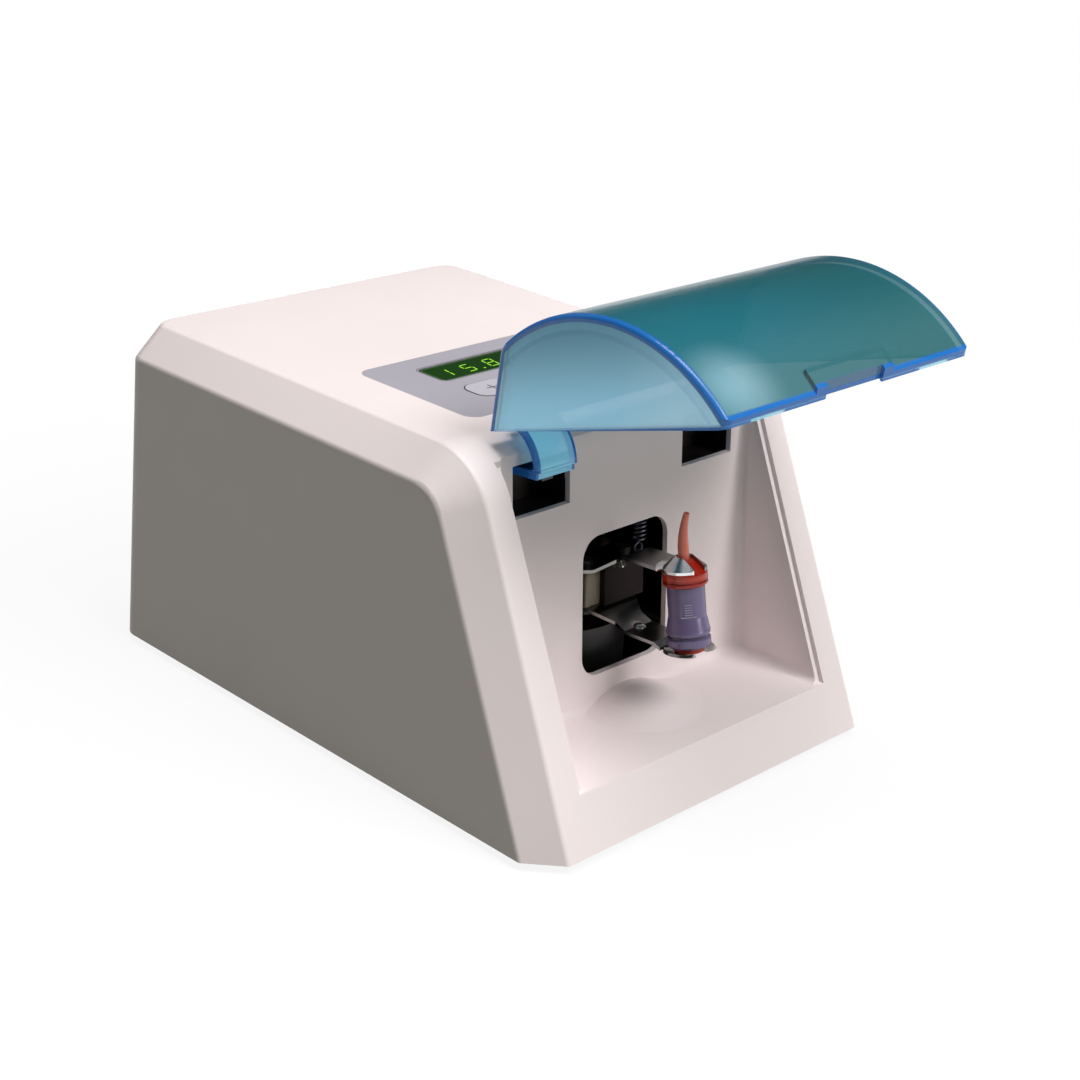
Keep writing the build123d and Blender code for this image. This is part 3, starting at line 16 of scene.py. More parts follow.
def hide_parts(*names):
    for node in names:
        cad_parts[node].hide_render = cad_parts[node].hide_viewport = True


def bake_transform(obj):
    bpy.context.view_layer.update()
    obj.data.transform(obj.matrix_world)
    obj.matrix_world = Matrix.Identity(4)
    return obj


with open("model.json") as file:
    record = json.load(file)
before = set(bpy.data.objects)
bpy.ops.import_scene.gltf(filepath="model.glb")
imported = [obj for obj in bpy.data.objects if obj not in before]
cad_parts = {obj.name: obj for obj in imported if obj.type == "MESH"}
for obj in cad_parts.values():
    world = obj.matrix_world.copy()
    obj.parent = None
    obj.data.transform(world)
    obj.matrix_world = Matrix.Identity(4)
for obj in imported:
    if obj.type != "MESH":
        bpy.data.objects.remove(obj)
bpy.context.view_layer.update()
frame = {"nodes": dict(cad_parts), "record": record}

MM = 0.001

# %% [markdown]
# ## The camera
# The eye is at the front left, about 0.7 m away and a little above, rolled by three degrees. A camera
# can be placed by turning it by hand or by giving it its three directions. Here the directions are
# worked out from a heading, a downward pitch and a roll, because those are easy to read.

# %% Place the camera
HEADING, PITCH, ROLL = 0.8043, 0.3979, 0.0601  # in radians
LENS, FILM_WIDTH = 68.22, 36.0  # in millimetres
EYE = (-0.48506, -0.47356, 0.34758)

reach, drop = math.cos(PITCH), math.sin(PITCH)
ahead = Vector((math.sin(HEADING) * reach, math.cos(HEADING) * reach, -drop))
level = Vector((math.cos(HEADING), -math.sin(HEADING), 0))
upright = level.cross(ahead)
right = level * math.cos(ROLL) + upright * math.sin(ROLL)
up = upright * math.cos(ROLL) - level * math.sin(ROLL)
eye = bpy.data.cameras.new("eye")
eye.lens, eye.sensor_width, eye.clip_start = LENS, FILM_WIDTH, 0.01
camera = bpy.data.objects.new("eye", eye)
bpy.context.scene.collection.objects.link(camera)
place = Matrix((right, up, -ahead)).transposed().to_4x4()
place.translation = Vector(EYE)
camera.matrix_world = place
bpy.context.scene.camera = camera
bpy.context.scene.view_settings.view_transform = "Standard"
print("camera looks along", [round(c, 3) for c in ahead])

# %% [markdown]
# ## Writing shader maths as plain expressions
# A finish is a small network of nodes. Wiring each Math node by hand hides the formula, so one class
# wraps an output socket and turns +, -, * and / into nodes. A second one holds the finish itself and
# has a single method that makes any node from its type, its settings and its sockets' values.
# Patterns read Object coordinates in millimetres, so every number is a real measure of the machine.

# %% The socket and finish classes
class Value:
    """An output socket that can be used in arithmetic."""

    def __init__(self, finish, socket):
        self.finish, self.socket = finish, socket

    def math(self, operation, *values):
        return self.finish.node("ShaderNodeMath", {"operation": operation}, dict(enumerate(values)))

    def __add__(self, other): return self.math("ADD", self, other)
    def __radd__(self, other): return self.math("ADD", other, self)
    def __sub__(self, other): return self.math("SUBTRACT", self, other)
    def __rsub__(self, other): return self.math("SUBTRACT", other, self)
    def __mul__(self, other): return self.math("MULTIPLY", self, other)
    def __rmul__(self, other): return self.math("MULTIPLY", other, self)
    def __truediv__(self, other): return self.math("DIVIDE", self, other)
    def __abs__(self): return self.math("ABSOLUTE", self)

    def least(self, other): return self.math("MINIMUM", self, other)
    def most(self, other): return self.math("MAXIMUM", self, other)
    def power(self, other): return self.math("POWER", self, other)

    def ramp(self, low, high):
        """0 at low, 1 at high and a smooth step between them; low may be the larger one."""
        smooth = {"interpolation_type": "SMOOTHSTEP", "clamp": True}
        return self.finish.node("ShaderNodeMapRange", smooth,
                                {"Value": self, "From Min": low, "From Max": high})


class Finish:
    """A procedural finish on one Principled shader."""

    made = {}

    def __init__(self, name, color, **sockets):
        Finish.made[name] = self
        self.material = bpy.data.materials.new(name)
        self.material.use_nodes = True
        self.tree = self.material.node_tree
        self.shader = self.tree.nodes["Principled BSDF"]
        self.material.diffuse_color = (*color, 1.0)
        self.set(Base_Color=color, **sockets)

    def put(self, socket, value):
        if isinstance(value, Value):
            self.tree.links.new(value.socket, socket)
        elif hasattr(socket.default_value, "__len__") and len(socket.default_value) == 4:
            socket.default_value = (*value[:3], 1.0)
        else:
            socket.default_value = value

    def node(self, kind, settings=None, sockets=None, out=0):
        made = self.tree.nodes.new(kind)
        for name, value in (settings or {}).items():
            setattr(made, name, value)
        for name, value in (sockets or {}).items():
            self.put(made.inputs[name], value)
        return Value(self, made.outputs[out])

    def set(self, **sockets):
        for name, value in sockets.items():
            self.put(self.shader.inputs[name.replace("_", " ")], value)
        return self

    def point(self):
        return self.node("ShaderNodeTexCoord", out="Object")

    def turned(self, pivot=(0.0, 0.0, 0.0), angle=0.0):
        """x, y and z in millimetres about a pivot, after a turn about X."""
        lift = Matrix.Rotation(angle, 3, "X") @ -Vector(pivot)
        place = self.node("ShaderNodeMapping", sockets={
            "Vector": self.point(), "Rotation": (angle, 0, 0), "Location": tuple(lift)})
        return [self.node("ShaderNodeSeparateXYZ", sockets={"Vector": place}, out=i) / MM
                for i in range(3)]

    def length(self, a, b):
        return (a * a + b * b).power(0.5)

    def box_mask(self, x, y, half_x, half_y, soft=0.1):
        """1 inside a rectangle around zero."""
        return (half_x - abs(x)).ramp(-soft, soft) * (half_y - abs(y)).ramp(-soft, soft)

    def bar(self, value, half, soft=0.08):
        """1 where a value is within half of zero."""
        return abs(value).ramp(half + soft, half - soft)

    def outline(self, x, y, half_x, half_y, corner, width):
        """A thin line along a rectangle with rounded corners."""
        out_x = (abs(x) - (half_x - corner)).most(0.0)
        out_y = (abs(y) - (half_y - corner)).most(0.0)
        return self.bar(self.length(out_x, out_y) - corner, width)

    def paint(self, factor, color):
        """Lays a colour over what the finish has so far."""
        under = self.shader.inputs["Base Color"].links[0].from_socket
        return self.set(Base_Color=self.mix(factor, Value(self, under), color))

    def noise(self, scale, detail=3.0, rough=0.5, stretch=None):
        at = self.point()
        if stretch:
            at = self.node("ShaderNodeMapping", sockets={"Vector": at, "Scale": stretch})
        return self.node("ShaderNodeTexNoise", sockets={
            "Vector": at, "Scale": scale, "Detail": detail, "Roughness": rough})

    def mix(self, factor, low, high):
        return self.node("ShaderNodeMix", {"data_type": "RGBA"}, {0: factor, 6: low, 7: high}, out=2)

    def bump(self, height, strength, distance):
        normal = self.node("ShaderNodeBump", sockets={
            "Height": height, "Strength": strength, "Distance": distance})
        return self.set(Normal=normal)


def srgb(red, green, blue):
    """A colour given as 0 to 255 on a screen, in the linear values the shader wants."""
    return tuple(c / 255 / 12.92 if c <= 10 else ((c / 255 + 0.055) / 1.055) ** 2.4
                 for c in (red, green, blue))


print("finishes are written with", Value.__name__, "and", Finish.__name__)

# %% [markdown]
# ## Finishes for moulded plastic
# Moulded ABS looks plain from afar, but its gloss is uneven, it carries a very fine spark-eroded
# grain, and its tint drifts slightly where the wall is thick. So each plastic gets three noises: a wide
# one for colour, a closer one for gloss, and a fine one that feeds a Bump node. Rubber, and the steel
# that is coloured almost black as painted shade, look much the same, so they are made in the same way.

# %% Plastic finishes
def plastic(name, color, shade, rough=0.4, grain=1500.0, depth=0.00002, **sockets):
    """A moulded plastic: slow drift from color to shade, uneven gloss and a fine grain."""
    finish = Finish(name, color, **sockets)
    drift, gloss = finish.noise(9.0, 2.0).ramp(0.35, 0.7), finish.noise(60.0, 4.0)
    finish.set(Base_Color=finish.mix(drift, color, shade), Roughness=rough - 0.06 + gloss * 0.12)
    return finish.bump(finish.noise(grain, 2.0), 0.25, depth)


casing_white = plastic("casing_white", srgb(246, 233, 232), srgb(243, 230, 230), 0.42, 1800.0,
                       0.00004)
key_grey = plastic("key_grey", srgb(192, 188, 198), srgb(186, 183, 193), 0.5)
# Painted shade: the pockets' inserts are coloured almost black, for the shade deep inside the pockets.
plastic("pocket_black", srgb(30, 22, 22), srgb(44, 30, 28), 0.45)
plastic("black_plastic", srgb(28, 28, 30), srgb(36, 36, 39), 0.4)
plastic("hub_cream", srgb(168, 158, 138), srgb(140, 130, 108), 0.45)
# Painted shade: the spacer between the prongs is coloured almost black, for the deep shade there.
plastic("spacer_brown", srgb(28, 16, 12), srgb(21, 12, 9), 0.7, Specular_IOR_Level=0.25)
plastic("rubber_black", srgb(24, 24, 25), srgb(34, 33, 33), 0.8, 900.0, 0.00006)
# Painted shade: the steel inside the casing is coloured almost black, for the shade that fills the
# casing.
plastic("black_steel", (0.006, 0.005, 0.005), (0.010, 0.009, 0.009), 0.4)
print("plastics:", len(bpy.data.materials))

# %% [markdown]
# The casing's inside is coloured almost black: painted shade, for the shade that fills the casing and
# makes the fork's opening look black. The paint stops at the cut edges. Its mask is the depth below
# the outer skin, less the bay and less the rounded bend above it, where the wall is thicker than its
# flat parts.

# %% Painted shade inside the casing
FRONT, REAR, TOP, SIDE, FOOT, CHAMFER = -99.34, 131.66, 124.8, 85.0, 3.0, 10.8
FRONT_TANGENT, FRONT_COSINE, REAR_TANGENT = 0.4369, 0.9164, 0.0454
BAY_WALL, BAY_TANGENT, TRAY = -51.6, 0.0752, 21.2
BAY_SIDE, BAY_SKIN = (64.2, 63.8), (-2.3, -2.0)
SKIN, BEND_DROP, BEND_DEPTH, REAR_DEPTH = (2.1, 2.3), (18.0, 19.0), (26.0, 27.0), (12.0, 13.0)
INSIDE_SHADE = (0.012, 0.010, 0.010)

x, y, z = casing_white.turned()
from_side, from_top = SIDE - abs(x), TOP - z
from_front = (y - FRONT - (z - FOOT) * FRONT_TANGENT) * FRONT_COSINE
from_rear = REAR - (z - FOOT) * REAR_TANGENT - y
rim = from_top.least(from_front).least(from_rear)
bevel = (from_side + rim - CHAMFER) * math.cos(math.radians(45))
deep = from_side.least(rim).least(bevel).ramp(*SKIN)
past_bend = from_top.ramp(*BEND_DROP).most(from_front.ramp(*BEND_DEPTH)) * from_rear.ramp(*REAR_DEPTH)
behind_wall = (BAY_WALL + (z - TRAY) * BAY_TANGENT) - y
bay = abs(x).ramp(*BAY_SIDE) * behind_wall.ramp(*BAY_SKIN) * (z - TRAY).ramp(*BAY_SKIN)
# Painted shade: the inside of the casing is coloured almost black.
casing_white.paint(deep * past_bend * (1.0 - bay), INSIDE_SHADE)
print("bay wall starts at", BAY_WALL, "mm")

# %% [markdown]
# ## Finishes for metal
# Drawn and rolled steel shows fine lines along the direction it was worked in. A noise that is
# squeezed many times over across them gives those lines, and it changes roughness and bump only.

# %% Metal finishes
def metal(name, color, shade, rough=0.3, lines=(1.0, 1.0, 60.0), scale=120.0, depth=0.000008):
    """A worked metal with fine lines and a slow stain."""
    finish = Finish(name, color, Metallic=1.0)
    brushed = finish.noise(scale, 3.0, 0.6, lines)
    stain = finish.noise(45.0, 3.0).ramp(0.3, 0.75)
    finish.set(Base_Color=finish.mix(stain, color, shade), Roughness=rough - 0.08 + brushed * 0.16)
    return finish.bump(brushed, 0.3, depth)


metal("steel", (0.62, 0.62, 0.63), (0.5, 0.5, 0.51))
spring_steel = metal("spring_steel", (0.14, 0.14, 0.17), (0.08, 0.08, 0.10), 0.3, (40.0, 40.0, 1.0))
prong_steel = metal("prong_steel", (0.30, 0.29, 0.28), (0.20, 0.19, 0.18), 0.24, (6.0, 1.0, 1.0),
                    22.0, 0.0000004)
metal("plate_steel", (0.56, 0.57, 0.56), (0.46, 0.48, 0.45), 0.38, (30.0, 1.0, 1.0))
metal("core_iron", (0.26, 0.25, 0.24), (0.2, 0.18, 0.17), 0.5, (1.0, 1.0, 90.0))
metal("copper", (0.65, 0.25, 0.10), (0.5, 0.18, 0.07), 0.3, (1.0, 1.0, 90.0))
metal("bronze", (0.55, 0.36, 0.15), (0.45, 0.28, 0.12), 0.42)
metal("ferrite", (0.09, 0.09, 0.10), (0.06, 0.06, 0.07), 0.5)
aluminium = metal("aluminium", (0.80, 0.81, 0.82), (0.7, 0.71, 0.73), 0.3)
metal("carbon", (0.05, 0.05, 0.05), (0.08, 0.08, 0.08), 0.6)
print("finishes so far:", len(bpy.data.materials))

# %% [markdown]
# The fork's prongs are blued strip. Near the capsule their edges, and the clasp and dish that hold the
# capsule, are painted a light grey: partly the bare steel of ground edges, partly painted highlight.
# The clasp's near side carries a painted reflection. The masks are the strip's half width and the
# distance from the capsule's own axis, which leans back by 10.8 degrees. The lower prong's dimple
# carries a painted highlight.

# %% Ground edges, painted highlights and a painted reflection on the fork
CAPSULE = (0.0, -0.079056, 0.051025)
LEAN = math.radians(10.8)
STRIP_EDGE, STRIP_START, ROOT = (6.25, 6.45), (9.0, 9.6), (22.0, 28.0)
CLASP, CLASP_SIDE, CLASP_LOW = (9.9, 9.3), (1.5, -1.5), (18.0, 20.0)
DIMPLE, DIMPLE_REACH = (0.0, -0.0558, 0.0505), (3.4, 1.2)
GROUND_EDGE_AND_HIGHLIGHT, CLASP_REFLECTION, DIMPLE_HIGHLIGHT = (0.34, 0.34, 0.35), (0.92, 0.93, 0.95), (0.86, 0.86, 0.85)

x, y, along = prong_steel.turned(CAPSULE, LEAN)
away = prong_steel.length(x, y)
clasp = away.ramp(*CLASP)
edge = (abs(x).ramp(*STRIP_EDGE) * away.ramp(*STRIP_START)).most(clasp)
# Ground edges and painted highlight: the edges near the capsule, the clasp and the dish are painted
# light grey.
prong_steel.paint(edge * (1.0 - away.ramp(*ROOT)), GROUND_EDGE_AND_HIGHLIGHT)
# Painted reflection: the upper part of the clasp's near side is painted bright.
prong_steel.paint(clasp * x.ramp(*CLASP_SIDE) * along.ramp(*CLASP_LOW), CLASP_REFLECTION)
# Painted highlight on the lower prong's dimple.
x, y, z = prong_steel.turned(DIMPLE)
dimple_highlight = (x * x + y * y + z * z).power(0.5).ramp(*DIMPLE_REACH)
prong_steel.paint(dimple_highlight * 0.8, DIMPLE_HIGHLIGHT)
print("capsule leans", round(math.degrees(LEAN), 1), "degrees")

# %% [markdown]
# Two aluminium things sit inside: the motor's end cap, which is coloured almost black around the shaft
# as painted shade, for the shade behind the fork's opening, and the capacitors' cans, which wear a blue
# sleeve.

# %% Painted shade and sleeves on aluminium
SHAFT, NEAR_SHAFT, SLEEVE_FOOT = (0.0, -0.01533, 0.0), (32.0, 30.0), (14.0, 14.5)
x, y, z = aluminium.turned(SHAFT)
shaded_near_shaft = aluminium.length(x, y).ramp(*NEAR_SHAFT)
# Painted shade: the end cap is coloured almost black near the shaft.
aluminium.paint(shaded_near_shaft, (0.010, 0.009, 0.009))
aluminium.paint(z.ramp(*SLEEVE_FOOT) * (1.0 - shaded_near_shaft), (0.06, 0.08, 0.16))
aluminium.set(Metallic=(1.0 - shaded_near_shaft) * 0.6)
print("sleeves start at", SLEEVE_FOOT[0], "mm")

# %% [markdown]
# ## The see-through hood finish
# The hood is one moulding of tinted acrylic, about 2.4 mm thick. Light runs inside such a sheet and
# leaves at its edges, so the edges look far more blue than the faces, and a face that is seen flat
# looks pale. Real refraction would show this only with a matching room around it, so the effect is
# painted: the piece's own measures (distance to the mouth, to the side, to the arc) drive the colour
# and how much shows through. The measures are taken on the shut hood, so the open one is turned back.
# Each band is a pair of distances in millimetres, and its mask goes from 0 at the first to 1 at the
# second.

# %% Hood finish
HINGE = (-0.0356117, 0.1139)
OPEN = math.radians(83.6)
SLOPE = math.radians(23.6)
MOUTH_TOP, HOOD_LOW = (-0.0500156, 0.1124), 0.0215
ARC_TOP, ARC_LOW, ARC_RISE = (-0.0790156, 0.1124), (-0.0911774, 0.0215), 0.0194
HOOD_HALF = 0.060
ARM_MIDDLE, ARM_HALF = 40.85, 8.7
# Where the painted highlight sits on the hood's back, and its size, in millimetres.
SKIN_HIGHLIGHT, SKIN_HIGHLIGHT_SIZE = (-48.0, 8.0), (22.0, 19.0)
ARC_FOLD, ARC_FOLD_HALF, TOP_FOLD, TOP_FOLD_HALF = 5.6, 1.2, 3.8, 0.6
BANDS = {
    "side wall": (3.0, 2.4), "back wall": (2.0, 2.6), "corner side": (2.4, 1.0),
    "corner back": (2.8, 2.2), "tip": (1.6, 0.9), "mouth": (1.9, 1.2), "mouth line": (0.9, 0.5),
    "arm": (0.2, -0.4), "arm edge": (1.3, 0.9), "hinge": (12.4, 11.6), "lane": (5.4, 4.6),
    "pale side": (34.0, 2.0), "low side": (70.0, 25.0), "left to right": (-50.0, 50.0),
    "near tip": (34.0, 4.0)}

arc_chord = math.dist(ARC_TOP, ARC_LOW)
arc_radius = (arc_chord ** 2 / 4 + ARC_RISE ** 2) / (2 * ARC_RISE)
inward = Vector((ARC_TOP[1] - ARC_LOW[1], ARC_LOW[0] - ARC_TOP[0])).normalized()
arc_middle = (Vector(ARC_TOP) + Vector(ARC_LOW)) / 2 + inward * (arc_radius - ARC_RISE)


def band(value, name):
    """The mask of one named band."""
    return value.ramp(*BANDS[name])


def hood_finish():
    """Tinted acrylic: pale on its sides, teal on its back and deep blue along every edge."""
    hood = Finish("hood_blue", srgb(43, 104, 120), IOR=1.49)
    x, y, z = hood.turned((0, *HINGE), OPEN)
    y, z = y + HINGE[0] / MM, z + HINGE[1] / MM

    # Distances to the hood's own edges.
    side = HOOD_HALF / MM - abs(x)
    mouth_y = MOUTH_TOP[0] / MM + (z - MOUTH_TOP[1] / MM) * math.tan(SLOPE)
    mouth = (mouth_y - y) * math.cos(SLOPE)
    depth = arc_radius / MM - hood.length(y - arc_middle[0] / MM, z - arc_middle[1] / MM)
    top, tip = MOUTH_TOP[1] / MM - z, z - HOOD_LOW / MM
    back = depth.least(top)

    # The two flat side panels, the arms, and the bright edges where faces meet.
    arm = band(mouth, "arm")
    panel = band(side, "side wall") * band(back, "back wall") * (1.0 - arm)
    corner = band(side, "corner side") * band(back, "corner back")
    edges = (band(tip, "tip") * (1.0 - panel)).most(corner)
    edges = edges.most(band(mouth, "mouth") * (1.0 - panel)) * (1.0 - arm)
    line = band(mouth, "mouth line") * panel
    arc_fold = (ARC_FOLD_HALF - abs(depth - ARC_FOLD)).ramp(0.0, 0.9)
    top_fold = (TOP_FOLD_HALF - abs(top - TOP_FOLD)).ramp(0.0, 0.5)
    fold = arc_fold.most(top_fold) * panel
    lane = band(depth, "lane") * panel
    # Painted highlight: a soft pale patch on the back, near the tip at the left, where a lamp would
    # reflect.
    skin_highlight = hood.length((x - SKIN_HIGHLIGHT[0]) / SKIN_HIGHLIGHT_SIZE[0], (tip - SKIN_HIGHLIGHT[1]) / SKIN_HIGHLIGHT_SIZE[1])
    skin_highlight = skin_highlight.ramp(1.0, 0.0) * (1.0 - panel)

    # The colour, from the wide faces to the fine lines.
    pale = band(mouth, "pale side")
    skin_color = hood.mix(band(x, "left to right"), srgb(32, 107, 122), srgb(30, 94, 101))
    skin_color = hood.mix(band(tip, "near tip") * 0.5, skin_color, srgb(70, 116, 120))
    panel_color = hood.mix(pale, srgb(84, 140, 162), srgb(156, 210, 232))
    # Painted light: the side panels turn paler towards the bottom, standing in for the lit white casing
    # seen through them.
    panel_color = hood.mix(band(z, "low side") * pale * 0.8, panel_color, srgb(178, 216, 230))
    color = hood.mix(panel, skin_color, panel_color)
    # Painted highlight laid over the colour.
    color = hood.mix(skin_highlight * 0.42, color, srgb(160, 196, 210))
    color = hood.mix(lane * 0.4, color, srgb(120, 184, 210))
    color = hood.mix(fold * 0.75, color, srgb(34, 104, 146))
    color = hood.mix(edges, color, srgb(30, 100, 172))
    color = hood.mix(line * 0.8, color, srgb(20, 84, 150))

    # The arms: pale straps with blue edges, dark where they thicken around the hinge.
    strap = ARM_HALF - abs(abs(x) - ARM_MIDDLE)
    around = hood.length(y - HINGE[0] / MM, z - HINGE[1] / MM)
    web, trim = band(around, "hinge") * arm, band(strap, "arm edge") * arm
    color = hood.mix(arm, color, srgb(150, 214, 234))
    color = hood.mix(trim, color, srgb(36, 112, 184))
    color = hood.mix(web, color, srgb(16, 70, 92))

    # How solid it looks, and a painted glow: emission on the panels, arms and edges, and on the painted
    # highlight, stands in for the light that leaves the sheet.
    shown = (0.8 - panel * 0.1 - arm * 0.2).most(edges * 0.95).most(trim * 0.9).most(web * 0.92)
    glow = hood.mix(panel.most(skin_highlight * 0.3) * (1.0 - edges), (0.0, 0.0, 0.0), panel_color)
    glow = hood.mix(arm * (1.0 - web), glow, srgb(110, 176, 200))
    glow = hood.mix(edges.most(trim), glow, srgb(20, 66, 124))
    hood.set(Base_Color=color, Roughness=0.16 + hood.noise(40.0).ramp(0.3, 0.7) * 0.06,
             Alpha=shown, Emission_Color=glow, Emission_Strength=0.44)
    return hood.bump(hood.noise(18.0, 1.0), 0.05, 0.0005)


hood_finish()
print("hood arc radius", round(arc_radius / MM, 1), "mm")

# %% [markdown]
# ## The remaining finishes
# The capsule is glossy coloured plastic, with a dark groove and pale raised marks on its body. The
# window is dark green acrylic, the film around it is matt, and the boards are green epoxy glass.

# %% Capsule, window, film and board finishes
membrane_grey = plastic("membrane_grey", srgb(173, 168, 178), srgb(168, 164, 175), 0.5, 2500.0)
lens_green = plastic("lens_green", srgb(22, 56, 16), srgb(30, 68, 22), 0.15, 400.0, 0.000002)
capsule_violet = plastic("capsule_violet", srgb(124, 110, 150), srgb(116, 103, 143), 0.25, 900.0,
                         0.000004)
capsule_orange = plastic("capsule_orange", srgb(196, 40, 14), srgb(170, 28, 8), 0.14, 300.0,
                         0.000004)
plastic("plunger_red", srgb(206, 60, 34), srgb(170, 40, 22), 0.3, 400.0)
plastic("board_green", srgb(18, 92, 48), srgb(14, 76, 38), 0.4, 300.0)
plastic("ribbon_grey", srgb(150, 150, 154), srgb(128, 128, 134), 0.5, 500.0)

GROOVE, MARK_SKIN, MARK_FOOT, MARK_TOP = 3.6, (6.5, 6.62), (10.6, 11.0), (17.0, 16.4)
COLLAR_GROOVE, COLLAR_RIDGE, NOZZLE = 22.9, 24.5, (28.5, 33.0)

x, y, along = capsule_violet.turned(CAPSULE, LEAN)
capsule_violet.paint(capsule_violet.bar(along - GROOVE, 0.5, 0.2) * 0.8, srgb(40, 32, 62))
marks = capsule_violet.length(x, y).ramp(*MARK_SKIN) * along.ramp(*MARK_FOOT) * along.ramp(*MARK_TOP)
capsule_violet.paint(marks * 0.55, srgb(206, 200, 224))
x, y, along = capsule_orange.turned(CAPSULE, LEAN)
# Painted shade in the collar's groove and a painted highlight on its ridge.
capsule_orange.paint(capsule_orange.bar(along - COLLAR_GROOVE, 0.55, 0.3) * 0.6, srgb(120, 14, 4))
capsule_orange.paint(capsule_orange.bar(along - COLLAR_RIDGE, 0.35, 0.3) * 0.4, srgb(240, 90, 44))
capsule_orange.paint(along.ramp(*NOZZLE), srgb(236, 124, 100))
print("finishes so far:", len(Finish.made))

# %% [markdown]
# The timer's figures are lit bars behind green glass, so they are paint that glows, not shapes. Each
# figure is seven bars; a table says which of them are on. The film has thin dark lines around its
# window and keys, and the keys carry a plus, a minus and a start triangle.

# %% Figures, outlines and key marks
FIGURES_SHOWN = "1580"
FIGURE_X, FIGURE_Y, FIGURE_LEAN, POINT = (-24.5, -13.8, -3.1, 7.6), 20.0, 0.12, (-8.9, 16.7)
BARS = {"top": (0, 3.3), "upper_right": (1.9, 1.65), "lower_right": (1.9, -1.65),
        "bottom": (0, -3.3), "lower_left": (-1.9, -1.65), "upper_left": (-1.9, 1.65),
        "middle": (0, 0)}
FIGURES = {"1": ("upper_right", "lower_right"),
           "5": ("top", "upper_left", "middle", "lower_right", "bottom"),
           "8": tuple(BARS),
           "0": tuple(name for name in BARS if name != "middle")}
FLAT_BAR, UPRIGHT_BAR, POINT_HALF = (1.5, 0.28), (0.28, 1.35), (0.4, 0.4)
# Each outline is half its width, half its depth, its corner and half the line's own width.
WINDOW, WINDOW_RIM, WINDOW_FRAME = (-8.5, 20.69), (21.6, 6.6, 1.6, 0.2), (23.2, 8.0, 2.8, 0.16)
PLUS, MINUS, START = (-22.0, -0.91), (5.0, -0.91), (32.5, 9.69)
KEY_OUTLINE, START_RADIUS, START_LINE = (9.65, 6.95, 5.3, 0.16), 10.9, 0.16
STROKE_HALF, STROKE_THIN = 2.6, 0.3
# The start triangle: its tip and back edge from the key's middle, how far its flanks open, how fast.
TIP, BACK, FLANK_REACH, FLANK, SOFT = 2.6, 2.0, 4.0, 0.6, 0.08

x, y, z = lens_green.turned()
lit = lens_green.box_mask(x - POINT[0], y - POINT[1], *POINT_HALF)
for text, middle in zip(FIGURES_SHOWN, FIGURE_X):
    down = y - FIGURE_Y
    across = x - middle - down * FIGURE_LEAN
    for name in FIGURES[text]:
        at_x, at_y = BARS[name]
        half = UPRIGHT_BAR if at_x else FLAT_BAR
        lit = lit.most(lens_green.box_mask(across - at_x, down - at_y, *half))
rim_line = lens_green.outline(x - WINDOW[0], y - WINDOW[1], *WINDOW_RIM)
lens_green.paint(rim_line * 0.8, srgb(96, 120, 84))
lens_green.paint(lit, srgb(150, 210, 60))
lens_green.set(Emission_Color=lens_green.mix(lit, (0.0, 0.0, 0.0), srgb(120, 200, 40)),
               Emission_Strength=0.55)

x, y, z = membrane_grey.turned()
frame_line = membrane_grey.outline(x - WINDOW[0], y - WINDOW[1], *WINDOW_FRAME)
for at_x, at_y in (PLUS, MINUS):
    frame_line = frame_line.most(membrane_grey.outline(x - at_x, y - at_y, *KEY_OUTLINE))
from_start = membrane_grey.length(x - START[0], y - START[1])
frame_line = frame_line.most(membrane_grey.bar(from_start - START_RADIUS, START_LINE))
membrane_grey.paint(frame_line * 0.85, srgb(48, 46, 54))

x, y, z = key_grey.turned()
mark = key_grey.box_mask(x - PLUS[0], y - PLUS[1], STROKE_HALF, STROKE_THIN)
mark = mark.most(key_grey.box_mask(x - PLUS[0], y - PLUS[1], STROKE_THIN, STROKE_HALF))
mark = mark.most(key_grey.box_mask(x - MINUS[0], y - MINUS[1], STROKE_HALF, STROKE_THIN))
triangle = (START[0] + TIP - x).least(FLANK_REACH) * FLANK - abs(y - START[1])
mark = mark.most(triangle.ramp(-SOFT, SOFT) * (x - START[0] + BACK).ramp(-SOFT, SOFT))
key_grey.paint(mark * 0.9, srgb(40, 38, 44))
print("lit bars:", sum(len(FIGURES[text]) for text in FIGURES_SHOWN))

# %% [markdown]
# ## Dressing the measured pieces
# The record says which finish each measured piece wears, so one loop hands them all out. Their shapes
# and places stay as they were measured.

# %% Give every measured piece its finish
slot_of = {row["node"]: row["material_slot"] for row in frame["record"]["subparts"]}
for name, node in frame["nodes"].items():
    for place in node.material_slots:
        place.material = Finish.made[slot_of[name]].material
print("finishes given to", len(frame["nodes"]), "nodes")

# %% [markdown]
# ## The fork's springs
# Two tight coil springs pull the fork up to its bar. A spring is one wire that follows a path: a ring
# around the bar, the coil, and a ring through the fork's ear. The path is a chain of short edges, and
# a Geometry Nodes tree sweeps the wire along it. A screw modifier could make the coil but not the
# rings.
# All sizes are in millimetres until the path becomes a mesh.

# %% Wind the springs with geometry nodes
SPRING_X, SPRING_Y, SPRING_LOW, SPRING_HIGH = 16.2, -38.757, 68.256, 96.8
COIL, WIRE, RING, TURNS, STEPS, SIDES = 2.35, 0.43, 2.1, 14, 28, 10
RING_STEPS = 30
LEAD = 1.0  # straight wire between a ring and the coil
SPREAD = 3  # the coil reaches its full width after a third of a turn


def ring(centre, start, sweep, plane):
    """Points along a part of a ring in the XZ or YZ plane."""
    points = []
    for step in range(RING_STEPS + 1):
        angle = start + sweep * step / RING_STEPS
        across, up = RING * math.cos(angle), RING * math.sin(angle)
        offset = (across, 0, up) if plane == "XZ" else (0, across, up)
        points.append(Vector(centre) + Vector(offset))
    return points


